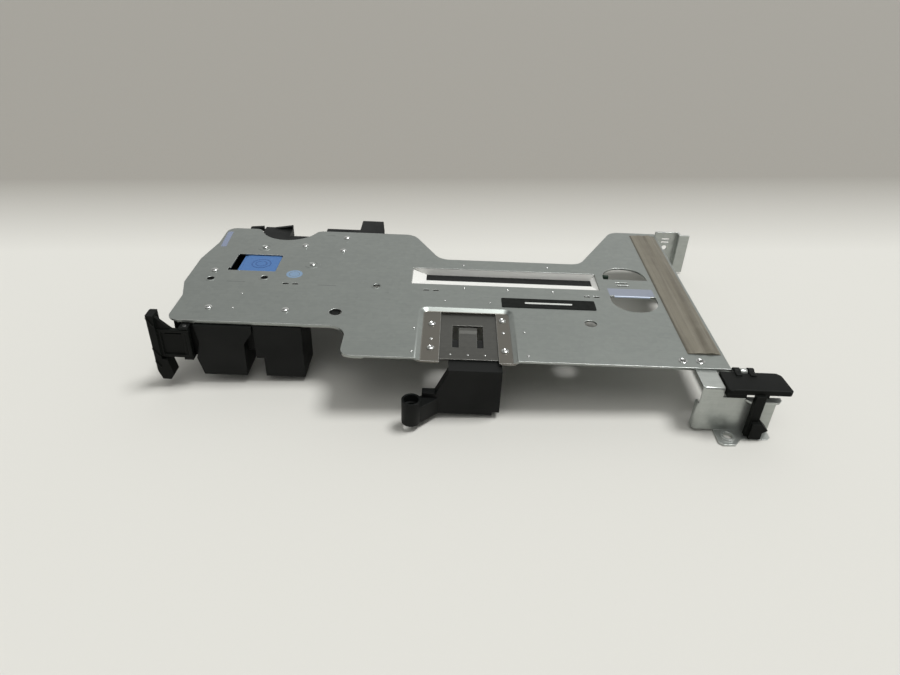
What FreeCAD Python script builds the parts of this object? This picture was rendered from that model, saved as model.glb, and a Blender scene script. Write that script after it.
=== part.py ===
import FreeCAD, Part
import os
import Sketcher

# Riser card for a flat server: a folded plate that carries a circuit board with one long card
# slot, a rear bracket with a retention latch, and moulded guides at the free end.
# Frame: origin on the axis of the foot's locating socket, at the socket's lower face.
# +X runs to the rear bracket, +Y from the latch side to the board side, +Z up out of the plate.

SIZES = {
    # Plate: heights and outline
    "plate_top": 28.8,
    "plate_thick": 1.0,
    "rear_edge": 147.0,
    "near_edge": 10.5,
    "left_reach": 122.5,
    "wing_near": 35.6,
    "wing_far": 145.2,
    "step_reach": 34.0,
    "rear_far": 160.4,
    "notch_far": 112.4,
    "notch_left": 10.0,
    "notch_left_run": 17.0,
    "notch_right": 91.6,
    "notch_right_run": 26.7,
    "bulge_out": 4.0,
    "bulge_near": 60.0,
    "bulge_near_run": 14.0,
    "bulge_far": 124.0,
    "bulge_far_run": 22.0,
    "corner_radius": 5.5,
    "sweep_radius": 9.0,
    "scoop_from_left": 38.0,
    "scoop_depth": 14.7,
    "scoop_radius": 17.5,
    "scoop_mouth_radius": 5.0,
    "lip_drop": 0.7,
    "lip_end": 23.0,
    "bend_radius": 1.8,
    # Plate: window, flap, finger slot and small openings
    "window_margin_left": 7.5,
    "window_margin_right": 2.0,
    "window_width": 18.9,
    "flap_near": 100.7,
    "flap_height": 18.0,
    "finger_from_rear": 31.9,
    "finger_width": 25.0,
    "finger_radius": 12.0,
    "finger_near": 59.3,
    "finger_far": 109.4,
    "bridge_near": 76.0,
    "bridge_width": 19.0,
    "slit_length": 6.8,
    "slit_width": 1.1,
    "slit_pitch": 3.2,
    "slit_from_near": 11.2,
    "slit_from_right": 18.9,
    "tool_hole_radius": 3.2,
    "tool_hole_left": 41.4,
    "tool_hole_left_y": 48.4,
    "tool_hole_right": 87.7,
    "tool_hole_right_y": 46.3,
    "pilot_radius": 2.0,
    "lance_length": 3.2,
    "lance_width": 1.5,
    "lance_bridge": 2.0,
    # Sunk panel in the near edge and the sheet under it
    "sink_left": 1.0,
    "sink_width": 47.8,
    "sink_far": 57.3,
    "sink_depth": 1.6,
    "sink_slope": 2.4,
    "sink_corner": 4.5,
    "sink_rim_radius": 2.0,
    "sink_cut_left": 12.0,
    "sink_cut_width": 28.0,
    "tongue_sheet": 0.8,
    "tongue_sheet_set_back": 3.7,
    "tongue_left": 21.2,
    "tongue_width": 8.9,
    "tongue_slot": 3.1,
    "tongue_near": 24.0,
    "tongue_length": 16.8,
    "tongue_ridge": 0.7,
    # Guide foot with its socket
    "socket_radius": 4.5,
    "socket_bore": 2.6,
    "socket_height": 12.8,
    "socket_cup": 3.6,
    "socket_cup_depth": 4.0,
    "foot_left": 16.5,
    "foot_width": 25.0,
    "foot_front": 6.0,
    "foot_wall": 3.0,
    "foot_bottom": 0.2,
    "foot_shelf": 2.2,
    "foot_shelf_depth": 26.0,
    "foot_slant_run": 7.1,
    "foot_slant_drop": 15.0,
    "foot_arm_height": 9.0,
    "foot_arm_side": 2.2,
    "foot_arm_front": 3.5,
    "foot_rib": 1.8,
    "foot_rib_depth": 6.0,
    "foot_box_left": 4.6,
    "foot_box_depth": 4.0,
    "foot_box_height": 2.8,
    "foot_flange": 1.2,
    "foot_step": 1.7,
    "foot_step_width": 3.5,
    # Rear bracket
    "sheet": 1.0,
    "bracket_width": 18.0,
    "bracket_ear": 25.5,
    "bracket_ear_far": 24.0,
    "bracket_drop": 24.8,
    "ledge_near": -3.0,
    "ledge_from_rear": 17.0,
    "ledge_reach": 18.0,
    "ledge_top_drop": 6.0,
    "curl_depth": 4.2,
    "curl_height": 14.1,
    "curl_radius": 2.4,
    "neck_inset": 0.6,
    "neck_width": 9.6,
    "foot_lobe_reach": 10.4,
    "foot_rail_reach": 6.2,
    "fixing_bore": 2.25,
    "fixing_collar": 3.4,
    "fixing_collar_height": 1.0,
    "fixing_reach": 5.0,
    "shelf_reach": 2.8,
    "shelf_width": 16.0,
    "shelf_left_of_lever": 2.6,
    "slot_window_near": 20.0,
    "slot_window_length": 96.0,
    "slot_window_height": 15.0,
    "slot_window_drop": 5.5,
    "hook_run": 15.6,
    "hook_return": 5.4,
    "hook_tip": 5.5,
    "hook_rise": 3.0,
    "web_slot_length": 5.0,
    "web_slot_height": 1.1,
    "web_hole_radius": 1.7,
    "web_hole_drop": 7.7,
    # Gasket and label
    "gasket_width": 15.9,
    "gasket_inset": 1.2,
    "gasket_near": 22.0,
    "gasket_length": 134.0,
    "gasket_height": 2.0,
    "gasket_groove": 0.8,
    "gasket_flat": 2.0,
    "gasket_slope": 1.4,
    "gasket_crest": 5.1,
    "gasket_groove_run": 1.0,
    "label_left": 43.5,
    "label_length": 49.5,
    "label_near": 59.5,
    "label_width": 9.5,
    "label_thick": 0.25,
    # Card latch and its pin
    "hinge_beyond_near": -0.6,
    "hinge_below_top": 1.0,
    "hinge_pin_radius": 0.9,
    "pin_clearance": 0.15,
    "knuckle_radius": 2.2,
    "knuckle_width": 2.6,
    "knuckle_foot": 3.2,
    "knuckle_rise": 0.6,
    "curl_lug_from_rear": 3.45,
    "curl_lug_width": 3.2,
    "side_clearance": 0.35,
    "pad_thick": 2.0,
    "pad_left_of_rear": 6.2,
    "pad_reach": 22.5,
    "pad_gap": 2.0,
    "pad_depth": 14.6,
    "pad_chamfer": 1.8,
    "pad_skew": 1.0,
    "pad_lip": 0.8,
    "pad_lip_height": 0.4,
    "pad_block_width": 8.5,
    "pad_block_depth": 4.0,
    "pad_block_drop": 2.4,
    "boss_width": 5.2,
    "boss_depth": 2.8,
    "boss_left": 1.6,
    "lever_from_rear": 5.8,
    "lever_width": 4.4,
    "lever_thick": 2.6,
    "lever_gap": 2.0,
    "lever_clearance": 0.5,
    "catch_width": 5.4,
    "catch_offset": 1.2,
    "catch_reach": 7.6,
    "catch_cheek": 3.6,
    "catch_crown": 4.4,
    "catch_depth": 4.6,
    "catch_height": 8.4,
    "catch_nose": 5.2,
    # Card guide under the wing
    "web": 2.4,
    "guide_inset": 3.6,
    "guide_width": 79.0,
    "guide_near": 38.0,
    "guide_far": 139.0,
    "guide_wall": 2.0,
    "duct_left": 13.3,
    "duct_width": 28.4,
    "duct_front": 34.0,
    "duct_depth": 18.0,
    "duct_drop": 30.2,
    "duct_waist": 4.5,
    "duct_waist_drop": 11.2,
    "duct_lean": 1.7,
    "duct_belly": 0.8,
    "duct_belly_drop": 20.5,
    "duct_toe": 1.6,
    "duct_toe_right": 5.0,
    "leg_left": 42.3,
    "leg_width": 23.8,
    "leg_front": 35.0,
    "leg_depth": 21.0,
    "leg_drop": 30.7,
    "leg_notch": 3.8,
    "leg_notch_height": 10.9,
    "bridge_set_back": 6.0,
    "bridge_floor": 12.0,
    "heel_left": 21.5,
    "heel_width": 17.1,
    "heel_near": 131.0,
    "heel_far": 151.0,
    "heel_drop": 34.6,
    "fin_thick": 2.4,
    "fin_rise": 2.0,
    "fin_low": 0.9,
    "fin_notch": 1.4,
    "fin_tail": 9.5,
    "fin_tail_rise": 0.8,
    "fin_root": 2.0,
    "fin_gap": 1.2,
    # End latch
    "end_hinge_from_left": 9.5,
    "end_hinge_y": 33.6,
    "end_barrel_radius": 2.2,
    "end_pin_radius": 1.0,
    "end_arm_thick": 2.4,
    "end_arm_top_drop": 3.6,
    "end_arm_height": 15.8,
    "end_recess": 0.8,
    "end_recess_margin": 1.5,
    "end_slot_height": 1.1,
    "end_slot_length": 10.5,
    "end_slot_depth": 1.6,
    "end_lug": 1.2,
    "cheek_left": 6.0,
    "cheek_set_back": 2.8,
    "cheek_thick": 2.0,
    "end_grip_reach": 16.8,
    "end_grip_thick": 3.7,
    "end_grip_depth": 7.0,
    "end_grip_above": 4.6,
    "end_grip_height": 37.0,
    "end_gusset_drop": 1.5,
    "end_gusset_run": 7.0,
    "end_gusset_thick": 1.6,
    "end_grip_toe": 6.0,
    "end_grip_toe_run": 2.2,
    "end_grip_round": 0.9,
    "end_knob_reach": 4.4,
    "end_knob_height": 12.0,
    "end_knob_foot": 2.6,
    # Release button, housing and spring
    "button_left": 15.7,
    "button_length": 25.6,
    "button_near": 89.4,
    "button_width": 20.4,
    "button_travel": 3.2,
    "button_gap": 0.4,
    "button_rest": 2.3,
    "button_recess": 0.6,
    "button_flange": 1.6,
    "button_flange_thick": 2.6,
    "button_notch": 3.0,
    "button_notch_reach": 1.0,
    "housing_wall": 1.6,
    "housing_depth": 13.0,
    "release_hook_width": 5.0,
    "release_hook_thick": 4.0,
    "release_hook_drop": 21.0,
    "release_hook_nose": 2.0,
    "housing_rail": 1.3,
    "spring_radius": 1.8,
    "spring_wire": 0.3,
    "spring_turns": 4.0,
    "spring_drop": 9.4,
    # Board, slot and small parts on the board
    "board_thick": 1.6,
    "board_left": -13.0,
    "board_length": 120.0,
    "board_gap": 0.6,
    "board_height": 22.0,
    "tab_left": 10.0,
    "tab_length": 65.0,
    "tab_drop": 5.0,
    "tab_key": 2.0,
    "tab_key_at": 23.0,
    "finger_web": 4.1,
    "slot_length": 94.0,
    "slot_height": 7.6,
    "slot_depth": 9.3,
    "slot_drop": 3.8,
    "slot_gap": 0.4,
    "slot_mouth": 1.9,
    "slot_mouth_depth": 8.0,
    "slot_end": 1.6,
    "slot_key": 1.8,
    "slot_key_at": 12.0,
    "screw_radius": 1.4,
    "screw_head_radius": 2.8,
    "screw_head_height": 2.0,
    "screw_clearance": 0.1,
    "screw_drop": 15.0,
    "screw_spacing": 40.0,
    "chip_side": 9.0,
    "chip_thick": 1.4,
    "capacitor_side": 3.0,
    "capacitor_thick": 2.0,
    "capacitor_pitch": 7.0,
    # Rivets
    "rivet_radius": 1.0,
    "rivet_clearance": 0.1,
    "rivet_head_radius": 1.9,
    "rivet_head_height": 0.7,
    "rivet_crown_radius": 1.2,
    # Places of rivets, pilot holes and lanced slots, along X from the edge that carries them
    "guide_rivet_far_x": 51.4,
    "guide_rivet_far_y": 123.9,
    "guide_rivet_left_x": 7.9,
    "guide_rivet_left_y": 88.7,
    "guide_rivet_duct_x": 16.9,
    "guide_rivet_duct_y": 48.7,
    "guide_rivet_leg_x": 55.7,
    "guide_rivet_leg_y": 48.8,
    "far_rivet_edge_x": 14.4,
    "far_rivet_edge_y": 137.0,
    "far_rivet_inner_x": 14.7,
    "far_rivet_inner_y": 119.1,
    "bracket_rivet_left_x": -21.0,
    "bracket_rivet_left_y": 16.0,
    "bracket_rivet_right_x": -12.8,
    "bracket_rivet_right_y": 16.0,
    "tongue_rivet_left_far_x": 6.8,
    "tongue_rivet_left_far_y": 43.0,
    "tongue_rivet_left_near_x": 6.8,
    "tongue_rivet_left_near_y": 21.5,
    "tongue_rivet_right_far_x": -5.6,
    "tongue_rivet_right_far_y": 48.0,
    "tongue_rivet_right_near_x": -5.6,
    "tongue_rivet_right_near_y": 20.8,
    "pilot_left_x": 8.6,
    "pilot_left_y": 79.0,
    "pilot_middle_x": 36.9,
    "pilot_middle_y": 82.1,
    "pilot_right_x": 98.9,
    "pilot_right_y": 77.3,
    "lance_left_x": 52.5,
    "lance_left_y": 76.2,
    "lance_middle_x": 11.0,
    "lance_middle_y": 74.9,
    "lance_right_x": 97.7,
    "lance_right_y": 74.0,
    # Far guide
    "far_left": -62.5,
    "far_width": 36.1,
    "far_near": 114.0,
    "far_tab_width": 15.4,
    "far_tab_reach": 21.0,
    "far_tab_taper": 2.0,
    "far_tab_thick": 3.2,
    "far_rail_reach": 6.6,
    "far_rail_drop": 9.0,
}

doc = FreeCAD.newDocument("riser_card")
sheet = doc.addObject("Spreadsheet::Sheet", "Sizes")
for row, (size_name, number) in enumerate(SIZES.items(), start=1):
    sheet.set(f"A{row}", size_name)
    sheet.set(f"B{row}", str(number))
    sheet.setAlias(f"B{row}", size_name)
doc.recompute()

NODES = []


class Size:
    """A length together with the sheet expression that gives it."""

    def __init__(self, value, text):
        self.value = value
        self.text = text

    def __add__(self, other):
        other = as_size(other)
        return Size(self.value + other.value, f"({self.text} + {other.text})")

    __radd__ = __add__

    def __sub__(self, other):
        other = as_size(other)
        return Size(self.value - other.value, f"({self.text} - {other.text})")

    def __rsub__(self, other):
        return as_size(other) - self

    def __mul__(self, other):
        other = as_size(other)
        return Size(self.value * other.value, f"({self.text} * {other.text})")

    __rmul__ = __mul__

    def __truediv__(self, other):
        other = as_size(other)
        return Size(self.value / other.value, f"({self.text} / {other.text})")

    def __neg__(self):
        return Size(-self.value, f"(0 - {self.text})")


def as_size(item):
    """Return a plain number as a Size, and a Size as it is."""
    if isinstance(item, Size):
        return item
    return Size(float(item), repr(float(item)))


class SizeTable:
    """Gives each named size of the sheet as a Size."""

    def __getattr__(self, name):
        return Size(float(sheet.get(name)), f"Sizes.{name}")


S = SizeTable()

# Levels and lines that several pieces share
plate_under = S.plate_top - S.plate_thick
left_edge = -S.left_reach
web_under = plate_under - S.web
sink_floor = S.plate_top - S.sink_depth
sink_under = sink_floor - S.plate_thick
sink_right = S.sink_left + S.sink_width
foot_top = sink_under - S.tongue_sheet
flap_far = S.flap_near + S.plate_thick
flap_bottom = S.plate_top - S.flap_height
slot_top = S.plate_top - S.slot_drop
slot_bottom = slot_top - S.slot_height
finger_left = S.rear_edge - S.finger_from_rear - S.finger_width / 2
window_right = finger_left - S.finger_web
slot_right = window_right - S.window_margin_right
slot_left = slot_right - S.slot_length
window_left = slot_left - S.window_margin_left
board_far = flap_far + S.board_thick
screw_level = S.plate_top - S.screw_drop
screw_middle = slot_left + S.slot_length / 2
bracket_bottom = S.plate_top - S.bracket_drop
wall_inner = S.rear_edge - S.sheet
ledge_back = S.ledge_near + S.sheet
ledge_left = S.rear_edge - S.ledge_from_rear
ledge_right = S.rear_edge + S.ledge_reach
ledge_top = S.plate_top - S.ledge_top_drop
hinge_y = S.near_edge + S.hinge_beyond_near
hinge_z = S.plate_top - S.hinge_below_top
pin_bore = S.hinge_pin_radius + S.pin_clearance
lug_radius = S.hinge_pin_radius + S.sheet
lug_left = S.rear_edge + S.curl_lug_from_rear
lug_right = lug_left + S.curl_lug_width
lever_left = S.rear_edge + S.lever_from_rear
lever_right = lever_left + S.lever_width
button_left = left_edge + S.button_left
button_right = button_left + S.button_length
button_far = S.button_near + S.button_width
cap_left = button_left + S.button_travel + S.button_rest
cap_right = button_right - S.button_gap
button_middle = (cap_left + cap_right) / 2
housing_left = button_left - S.housing_wall - S.button_flange - S.button_gap
housing_right = button_right + S.housing_wall + S.button_flange + S.button_gap
housing_near = S.button_near - S.housing_wall - S.button_flange - S.button_gap
housing_far = button_far + S.housing_wall + S.button_flange + S.button_gap
housing_bottom = plate_under - S.housing_depth
duct_left = left_edge + S.duct_left
leg_left = left_edge + S.leg_left
heel_left = left_edge + S.heel_left
end_hinge_x = left_edge + S.end_hinge_from_left
end_arm_top = S.plate_top - S.end_arm_top_drop
end_arm_bottom = end_arm_top - S.end_arm_height
cheek_near = S.end_hinge_y + S.cheek_set_back
rivet_hole = S.rivet_radius + S.rivet_clearance


def spots(edge, *names):
    """Return the named places on the plate, each measured along X from an edge."""
    return [(edge + getattr(S, f"{name}_x"), getattr(S, f"{name}_y")) for name in names]


GUIDE_RIVETS = spots(
    left_edge, "guide_rivet_far", "guide_rivet_left", "guide_rivet_duct", "guide_rivet_leg"
)
FAR_RIVETS = spots(S.far_left, "far_rivet_edge", "far_rivet_inner")
BRACKET_RIVETS = spots(S.rear_edge, "bracket_rivet_left", "bracket_rivet_right")
TONGUE_RIVETS = spots(S.sink_left, "tongue_rivet_left_far", "tongue_rivet_left_near")
TONGUE_RIVETS += spots(sink_right, "tongue_rivet_right_far", "tongue_rivet_right_near")
PILOT_HOLES = spots(left_edge, "pilot_left", "pilot_middle", "pilot_right")
LANCES = spots(left_edge, "lance_left") + spots(window_left, "lance_middle", "lance_right")
CAPACITORS = 4
GRIP_SLITS = 2
WIRE_SIDES = 5
RIVET_SIDES = 12
SCREW_PLACES = [screw_middle - S.screw_spacing, screw_middle, screw_middle + S.screw_spacing]

PLANE_ROLES = {"X": "YZ_Plane", "Y": "XZ_Plane", "Z": "XY_Plane"}


def new_body(label):
    """Start a named piece."""
    body = doc.addObject("PartDesign::Body", label)
    body.Label = label
    NODES.append(body)
    return body


def origin_plane(body, axis):
    """Return the body's own origin plane that faces along an axis."""
    for feature in body.Origin.OriginFeatures:
        if feature.Role == PLANE_ROLES[axis]:
            return feature
    raise RuntimeError(f"{body.Label} has no plane across {axis}")


def pin(sketch, kind, geometry, point, size):
    """Bind one coordinate of a sketch point to its expression."""
    index = sketch.addConstraint(Sketcher.Constraint(kind, -1, 1, geometry, point, size.value))
    sketch.setExpression(f"Constraints[{index}]", size.text)


def toward(start, end):
    """Return the axis-aligned unit step from one corner to the next."""
    steps = [as_size(stop).value - as_size(begin).value for begin, stop in zip(start, end)]
    return [round(step / max(abs(part) for part in steps)) for step in steps]


def add_loop(sketch, corners):
    """Draw a closed loop through the corners; a third number rounds a square corner."""
    stops = []
    for index, (across, up, *radius) in enumerate(corners):
        if not radius:
            stops.append((as_size(across), as_size(up), None))
            continue
        back = toward((across, up), corners[index - 1][:2])
        ahead = toward((across, up), corners[(index + 1) % len(corners)][:2])
        stops.append((across + back[0] * radius[0], up + back[1] * radius[0], radius[0]))
        stops.append((across + ahead[0] * radius[0], up + ahead[1] * radius[0], None))
    points = [FreeCAD.Vector(across.value, up.value, 0) for across, up, _ in stops]
    first = sketch.GeometryCount
    heads = []
    for index, (start, (_, _, radius)) in enumerate(zip(points, stops)):
        end = points[(index + 1) % len(points)]
        if radius is None:
            sketch.addGeometry(Part.LineSegment(start, end))
            heads.append(1)
            continue
        chord = (end - start) / 2
        arriving = start - points[index - 1]
        side = arriving - chord * (arriving.dot(chord) / chord.dot(chord))
        middle = start + chord + side.normalize() * chord.Length * (2**0.5 - 1)
        sketch.addGeometry(Part.Arc(start, middle, end))
        # A sketch counts every arc anticlockwise, so a clockwise one has its ends swapped.
        heads.append(1 if (middle - start).cross(end - start).z > 0 else 2)
    for index, (across, up, radius) in enumerate(stops):
        item = first + index
        following = (index + 1) % len(stops)
        tail = 3 - heads[index]
        joint = Sketcher.Constraint("Coincident", item, tail, first + following, heads[following])
        sketch.addConstraint(joint)
        pin(sketch, "DistanceX", item, heads[index], across)
        pin(sketch, "DistanceY", item, heads[index], up)
        if radius is not None:
            bound = sketch.addConstraint(Sketcher.Constraint("Radius", item, radius.value))
            sketch.setExpression(f"Constraints[{bound}]", radius.text)


def add_circle(sketch, centre, radius):
    """Draw a circle with a bound centre and radius."""
    across, up = as_size(centre[0]), as_size(centre[1])
    middle = FreeCAD.Vector(across.value, up.value, 0)
    circle = sketch.addGeometry(Part.Circle(middle, FreeCAD.Vector(0, 0, 1), radius.value))
    pin(sketch, "DistanceX", circle, 3, across)
    pin(sketch, "DistanceY", circle, 3, up)
    index = sketch.addConstraint(Sketcher.Constraint("Radius", circle, radius.value))
    sketch.setExpression(f"Constraints[{index}]", radius.text)


def extrude(body, name, axis, low, high, loops=(), circles=(), cut=False, taper=None):
    """Add or cut a prism between two levels on an axis; return its sketch."""
    low, high = as_size(low), as_size(high)
    # A pad follows its plane's normal and a pocket goes against it; the Y plane faces -Y.
    level = high if cut != (axis == "Y") else low
    sketch = body.newObject("Sketcher::SketchObject", f"{body.Label}_{name}_sketch")
    sketch.AttachmentSupport = [(origin_plane(body, axis), "")]
    sketch.MapMode = "FlatFace"
    offset = -level if axis == "Y" else level
    sketch.setExpression("AttachmentOffset.Base.z", offset.text)
    for corners in loops:
        add_loop(sketch, corners)
    for centre, radius in circles:
        add_circle(sketch, centre, radius)
    before = body.Tip.Shape.Volume if body.Tip else 0.0
    kind = "PartDesign::Pocket" if cut else "PartDesign::Pad"
    feature = body.newObject(kind, f"{body.Label}_{name}")
    feature.Profile = sketch
    feature.setExpression("Length", (high - low).text)
    if taper is not None:
        feature.setExpression("TaperAngle", taper)
    doc.recompute()
    change = feature.Shape.Volume - before
    if (change >= 0) if cut else (change <= 0):
        raise RuntimeError(f"{body.Label}: {name} changed nothing")
    return sketch


def box(body, name, corner_low, corner_high, cut=False):
    """Add or cut a square block between two corners."""
    (x0, y0, z0), (x1, y1, z1) = corner_low, corner_high
    return extrude(body, name, "Z", z0, z1, [[(x0, y0), (x1, y0), (x1, y1), (x0, y1)]], cut=cut)


def fillet_edges(body, name, edges, radius):
    """Round the given edges of the piece as it stands."""
    if not edges:
        raise RuntimeError(f"{body.Label}: {name} found no edge")
    base = body.Tip
    fillet = body.newObject("PartDesign::Fillet", f"{body.Label}_{name}")
    fillet.Base = (base, edges)
    fillet.setExpression("Radius", as_size(radius).text)
    doc.recompute()


def round_corners(body, name, sketch, corners, radius):
    """Round the straight edges that rise from the given corners of a sketch."""
    normal = sketch.Placement.Rotation.multVec(FreeCAD.Vector(0, 0, 1))
    spots = [sketch.Placement.multVec(sketch.Geometry[index].StartPoint) for index in corners]
    edges = []
    for number, edge in enumerate(body.Tip.Shape.Edges, start=1):
        ends = [vertex.Point for vertex in edge.Vertexes]
        if len(ends) != 2 or (ends[1] - ends[0]).cross(normal).Length > 1e-4:
            continue
        if any((ends[0] - spot).cross(normal).Length < 1e-4 for spot in spots):
            edges.append(f"Edge{number}")
    fillet_edges(body, name, edges, radius)


def round_at(body, name, points, radius):
    """Round the edges that pass through the given points."""
    spots = [Part.Vertex(*(as_size(part).value for part in point)) for point in points]
    edges = []
    for number, edge in enumerate(body.Tip.Shape.Edges, start=1):
        if any(edge.distToShape(spot)[0] < 1e-4 for spot in spots):
            edges.append(f"Edge{number}")
    fillet_edges(body, name, edges, radius)


def rectangle(left, near, right, far):
    """Return the four corners of a rectangle."""
    return [(left, near), (right, near), (right, far), (left, far)]


def place(item, x, y, z):
    """Bind a primitive's position."""
    for name, size in zip("xyz", (x, y, z)):
        item.setExpression(f"Placement.Base.{name}", as_size(size).text)


TURNS = {
    "X": FreeCAD.Rotation(FreeCAD.Vector(0, 1, 0), 90),
    "Y": FreeCAD.Rotation(FreeCAD.Vector(1, 0, 0), -90),
    "Z": FreeCAD.Rotation(),
}


def rod(name, axis, start, length, radius):
    """Make a round bar that leaves its start point along an axis."""
    bar = doc.addObject("Part::Cylinder", name)
    bar.Placement = FreeCAD.Placement(FreeCAD.Vector(), TURNS[axis])
    bar.setExpression("Radius", radius.text)
    bar.setExpression("Height", length.text)
    place(bar, *start)
    return bar


def fuse(name, first, second):
    """Join two primitives into one solid."""
    joined = doc.addObject("Part::Fuse", name)
    joined.Base = first
    joined.Tool = second
    joined.Refine = True
    return joined


def group(label, items):
    """Gather separate solids into one named piece."""
    compound = doc.addObject("Part::Compound", label)
    compound.Label = label
    compound.Links = items
    NODES.append(compound)
    doc.recompute()


def make_plate_outline(body):
    """Pad the plate's outline and round its corners."""
    bulge_left = left_edge - S.bulge_out
    outline = [
        (S.rear_edge, S.near_edge),
        (S.rear_edge, S.rear_far),
        (S.notch_right + S.notch_right_run, S.rear_far),
        (S.notch_right, S.notch_far),
        (S.notch_left, S.notch_far),
        (S.notch_left - S.notch_left_run, S.wing_far),
        (left_edge, S.wing_far),
        (left_edge, S.bulge_far),
        (bulge_left, S.bulge_far - S.bulge_far_run),
        (bulge_left, S.bulge_near + S.bulge_near_run),
        (left_edge, S.bulge_near),
        (left_edge, S.wing_near),
        (-S.step_reach, S.wing_near),
        (-S.step_reach, S.near_edge),
    ]
    sketch = extrude(body, "sheet", "Z", plate_under, S.plate_top, [outline])
    round_corners(body, "sweeps", sketch, [2, 3, 4, 5, 12], S.sweep_radius)
    round_corners(body, "corners", sketch, [6, 7, 8, 9, 10, 11, 13], S.corner_radius)


def make_plate_scoop(body):
    """Cut the round scoop in the wing's far edge and ease its mouth."""
    centre_y = S.wing_far - S.scoop_depth + S.scoop_radius
    centre = (left_edge + S.scoop_from_left, centre_y)
    extrude(body, "scoop", "Z", plate_under, S.plate_top, circles=[(centre, S.scoop_radius)], cut=True)
    half_mouth = (S.scoop_radius.value**2 - (S.wing_far - centre_y).value**2) ** 0.5
    middle = plate_under + S.plate_thick / 2
    mouth = [(centre[0] + side * half_mouth, S.wing_far, middle) for side in (-1, 1)]
    round_at(body, "scoop_mouth", mouth, S.scoop_mouth_radius)


def make_plate_lip(body):
    """Fold the short lip down along the wing's near edge and round its step."""
    wall = S.plate_thick
    start = left_edge + S.corner_radius
    inner_sweep = S.sweep_radius + wall
    inner_corner = S.corner_radius - wall
    strip = [
        (start, S.wing_near),
        (-S.step_reach, S.wing_near, S.sweep_radius),
        (-S.step_reach, S.near_edge, S.corner_radius),
        (-S.lip_end, S.near_edge),
        (-S.lip_end, S.near_edge + wall),
        (wall - S.step_reach, S.near_edge + wall, inner_corner),
        (wall - S.step_reach, S.wing_near + wall, inner_sweep),
        (start, S.wing_near + wall),
    ]
    extrude(body, "lip", "Z", plate_under - S.lip_drop, plate_under, [strip])


def make_plate_sink(body):
    """Press the sunk panel into the near edge and cut its middle away."""
    slope = f"atan({S.sink_slope.text} / {S.sink_depth.text})"
    spare = S.sink_slope * 3
    inset = S.sink_slope - S.plate_thick / 2
    low_corner = S.sink_corner - inset
    foot = [
        (S.sink_left + inset, S.near_edge - spare),
        (sink_right - inset, S.near_edge - spare),
        (sink_right - inset, S.sink_far - inset, low_corner),
        (S.sink_left + inset, S.sink_far - inset, low_corner),
    ]
    extrude(body, "sink_boss", "Z", sink_under, plate_under, [foot], taper=slope)
    mouth = [
        (S.sink_left, S.near_edge - spare),
        (sink_right, S.near_edge - spare),
        (sink_right, S.sink_far, S.sink_corner),
        (S.sink_left, S.sink_far, S.sink_corner),
    ]
    extrude(body, "sink", "Z", sink_floor, S.plate_top, [mouth], cut=True, taper=f"-{slope}")
    box(
        body,
        "sink_trim",
        (S.sink_left - spare, S.near_edge - spare * 2, sink_under),
        (sink_right + spare, S.near_edge, S.plate_top),
        cut=True,
    )
    rim = [(S.sink_left + S.sink_width / 2, S.sink_far, S.plate_top)]
    round_at(body, "sink_rim", rim, S.sink_rim_radius)
    cut_right = S.sink_cut_left + S.sink_cut_width
    middle = rectangle(S.sink_cut_left, S.near_edge - spare, cut_right, S.sink_far - S.sink_slope)
    extrude(body, "sink_middle", "Z", sink_under, sink_floor, [middle], cut=True)


def make_plate_flap(body):
    """Cut the window and hang the flap that carries the board from its far edge."""
    window = rectangle(window_left, S.flap_near - S.window_width, window_right, S.flap_near)
    extrude(body, "window", "Z", plate_under, S.plate_top, [window], cut=True)
    flap = rectangle(window_left, S.flap_near, window_right, flap_far)
    extrude(body, "flap", "Z", flap_bottom, plate_under, [flap])
    gap = S.slot_gap
    opening = rectangle(slot_left - gap, slot_bottom - gap, slot_right + gap, slot_top + gap)
    extrude(body, "flap_opening", "Y", S.flap_near, flap_far, [opening], cut=True)
    hole = S.screw_radius + S.screw_clearance
    holes = [((x, screw_level), hole) for x in SCREW_PLACES]
    extrude(body, "flap_holes", "Y", S.flap_near, flap_far, circles=holes, cut=True)


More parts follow.
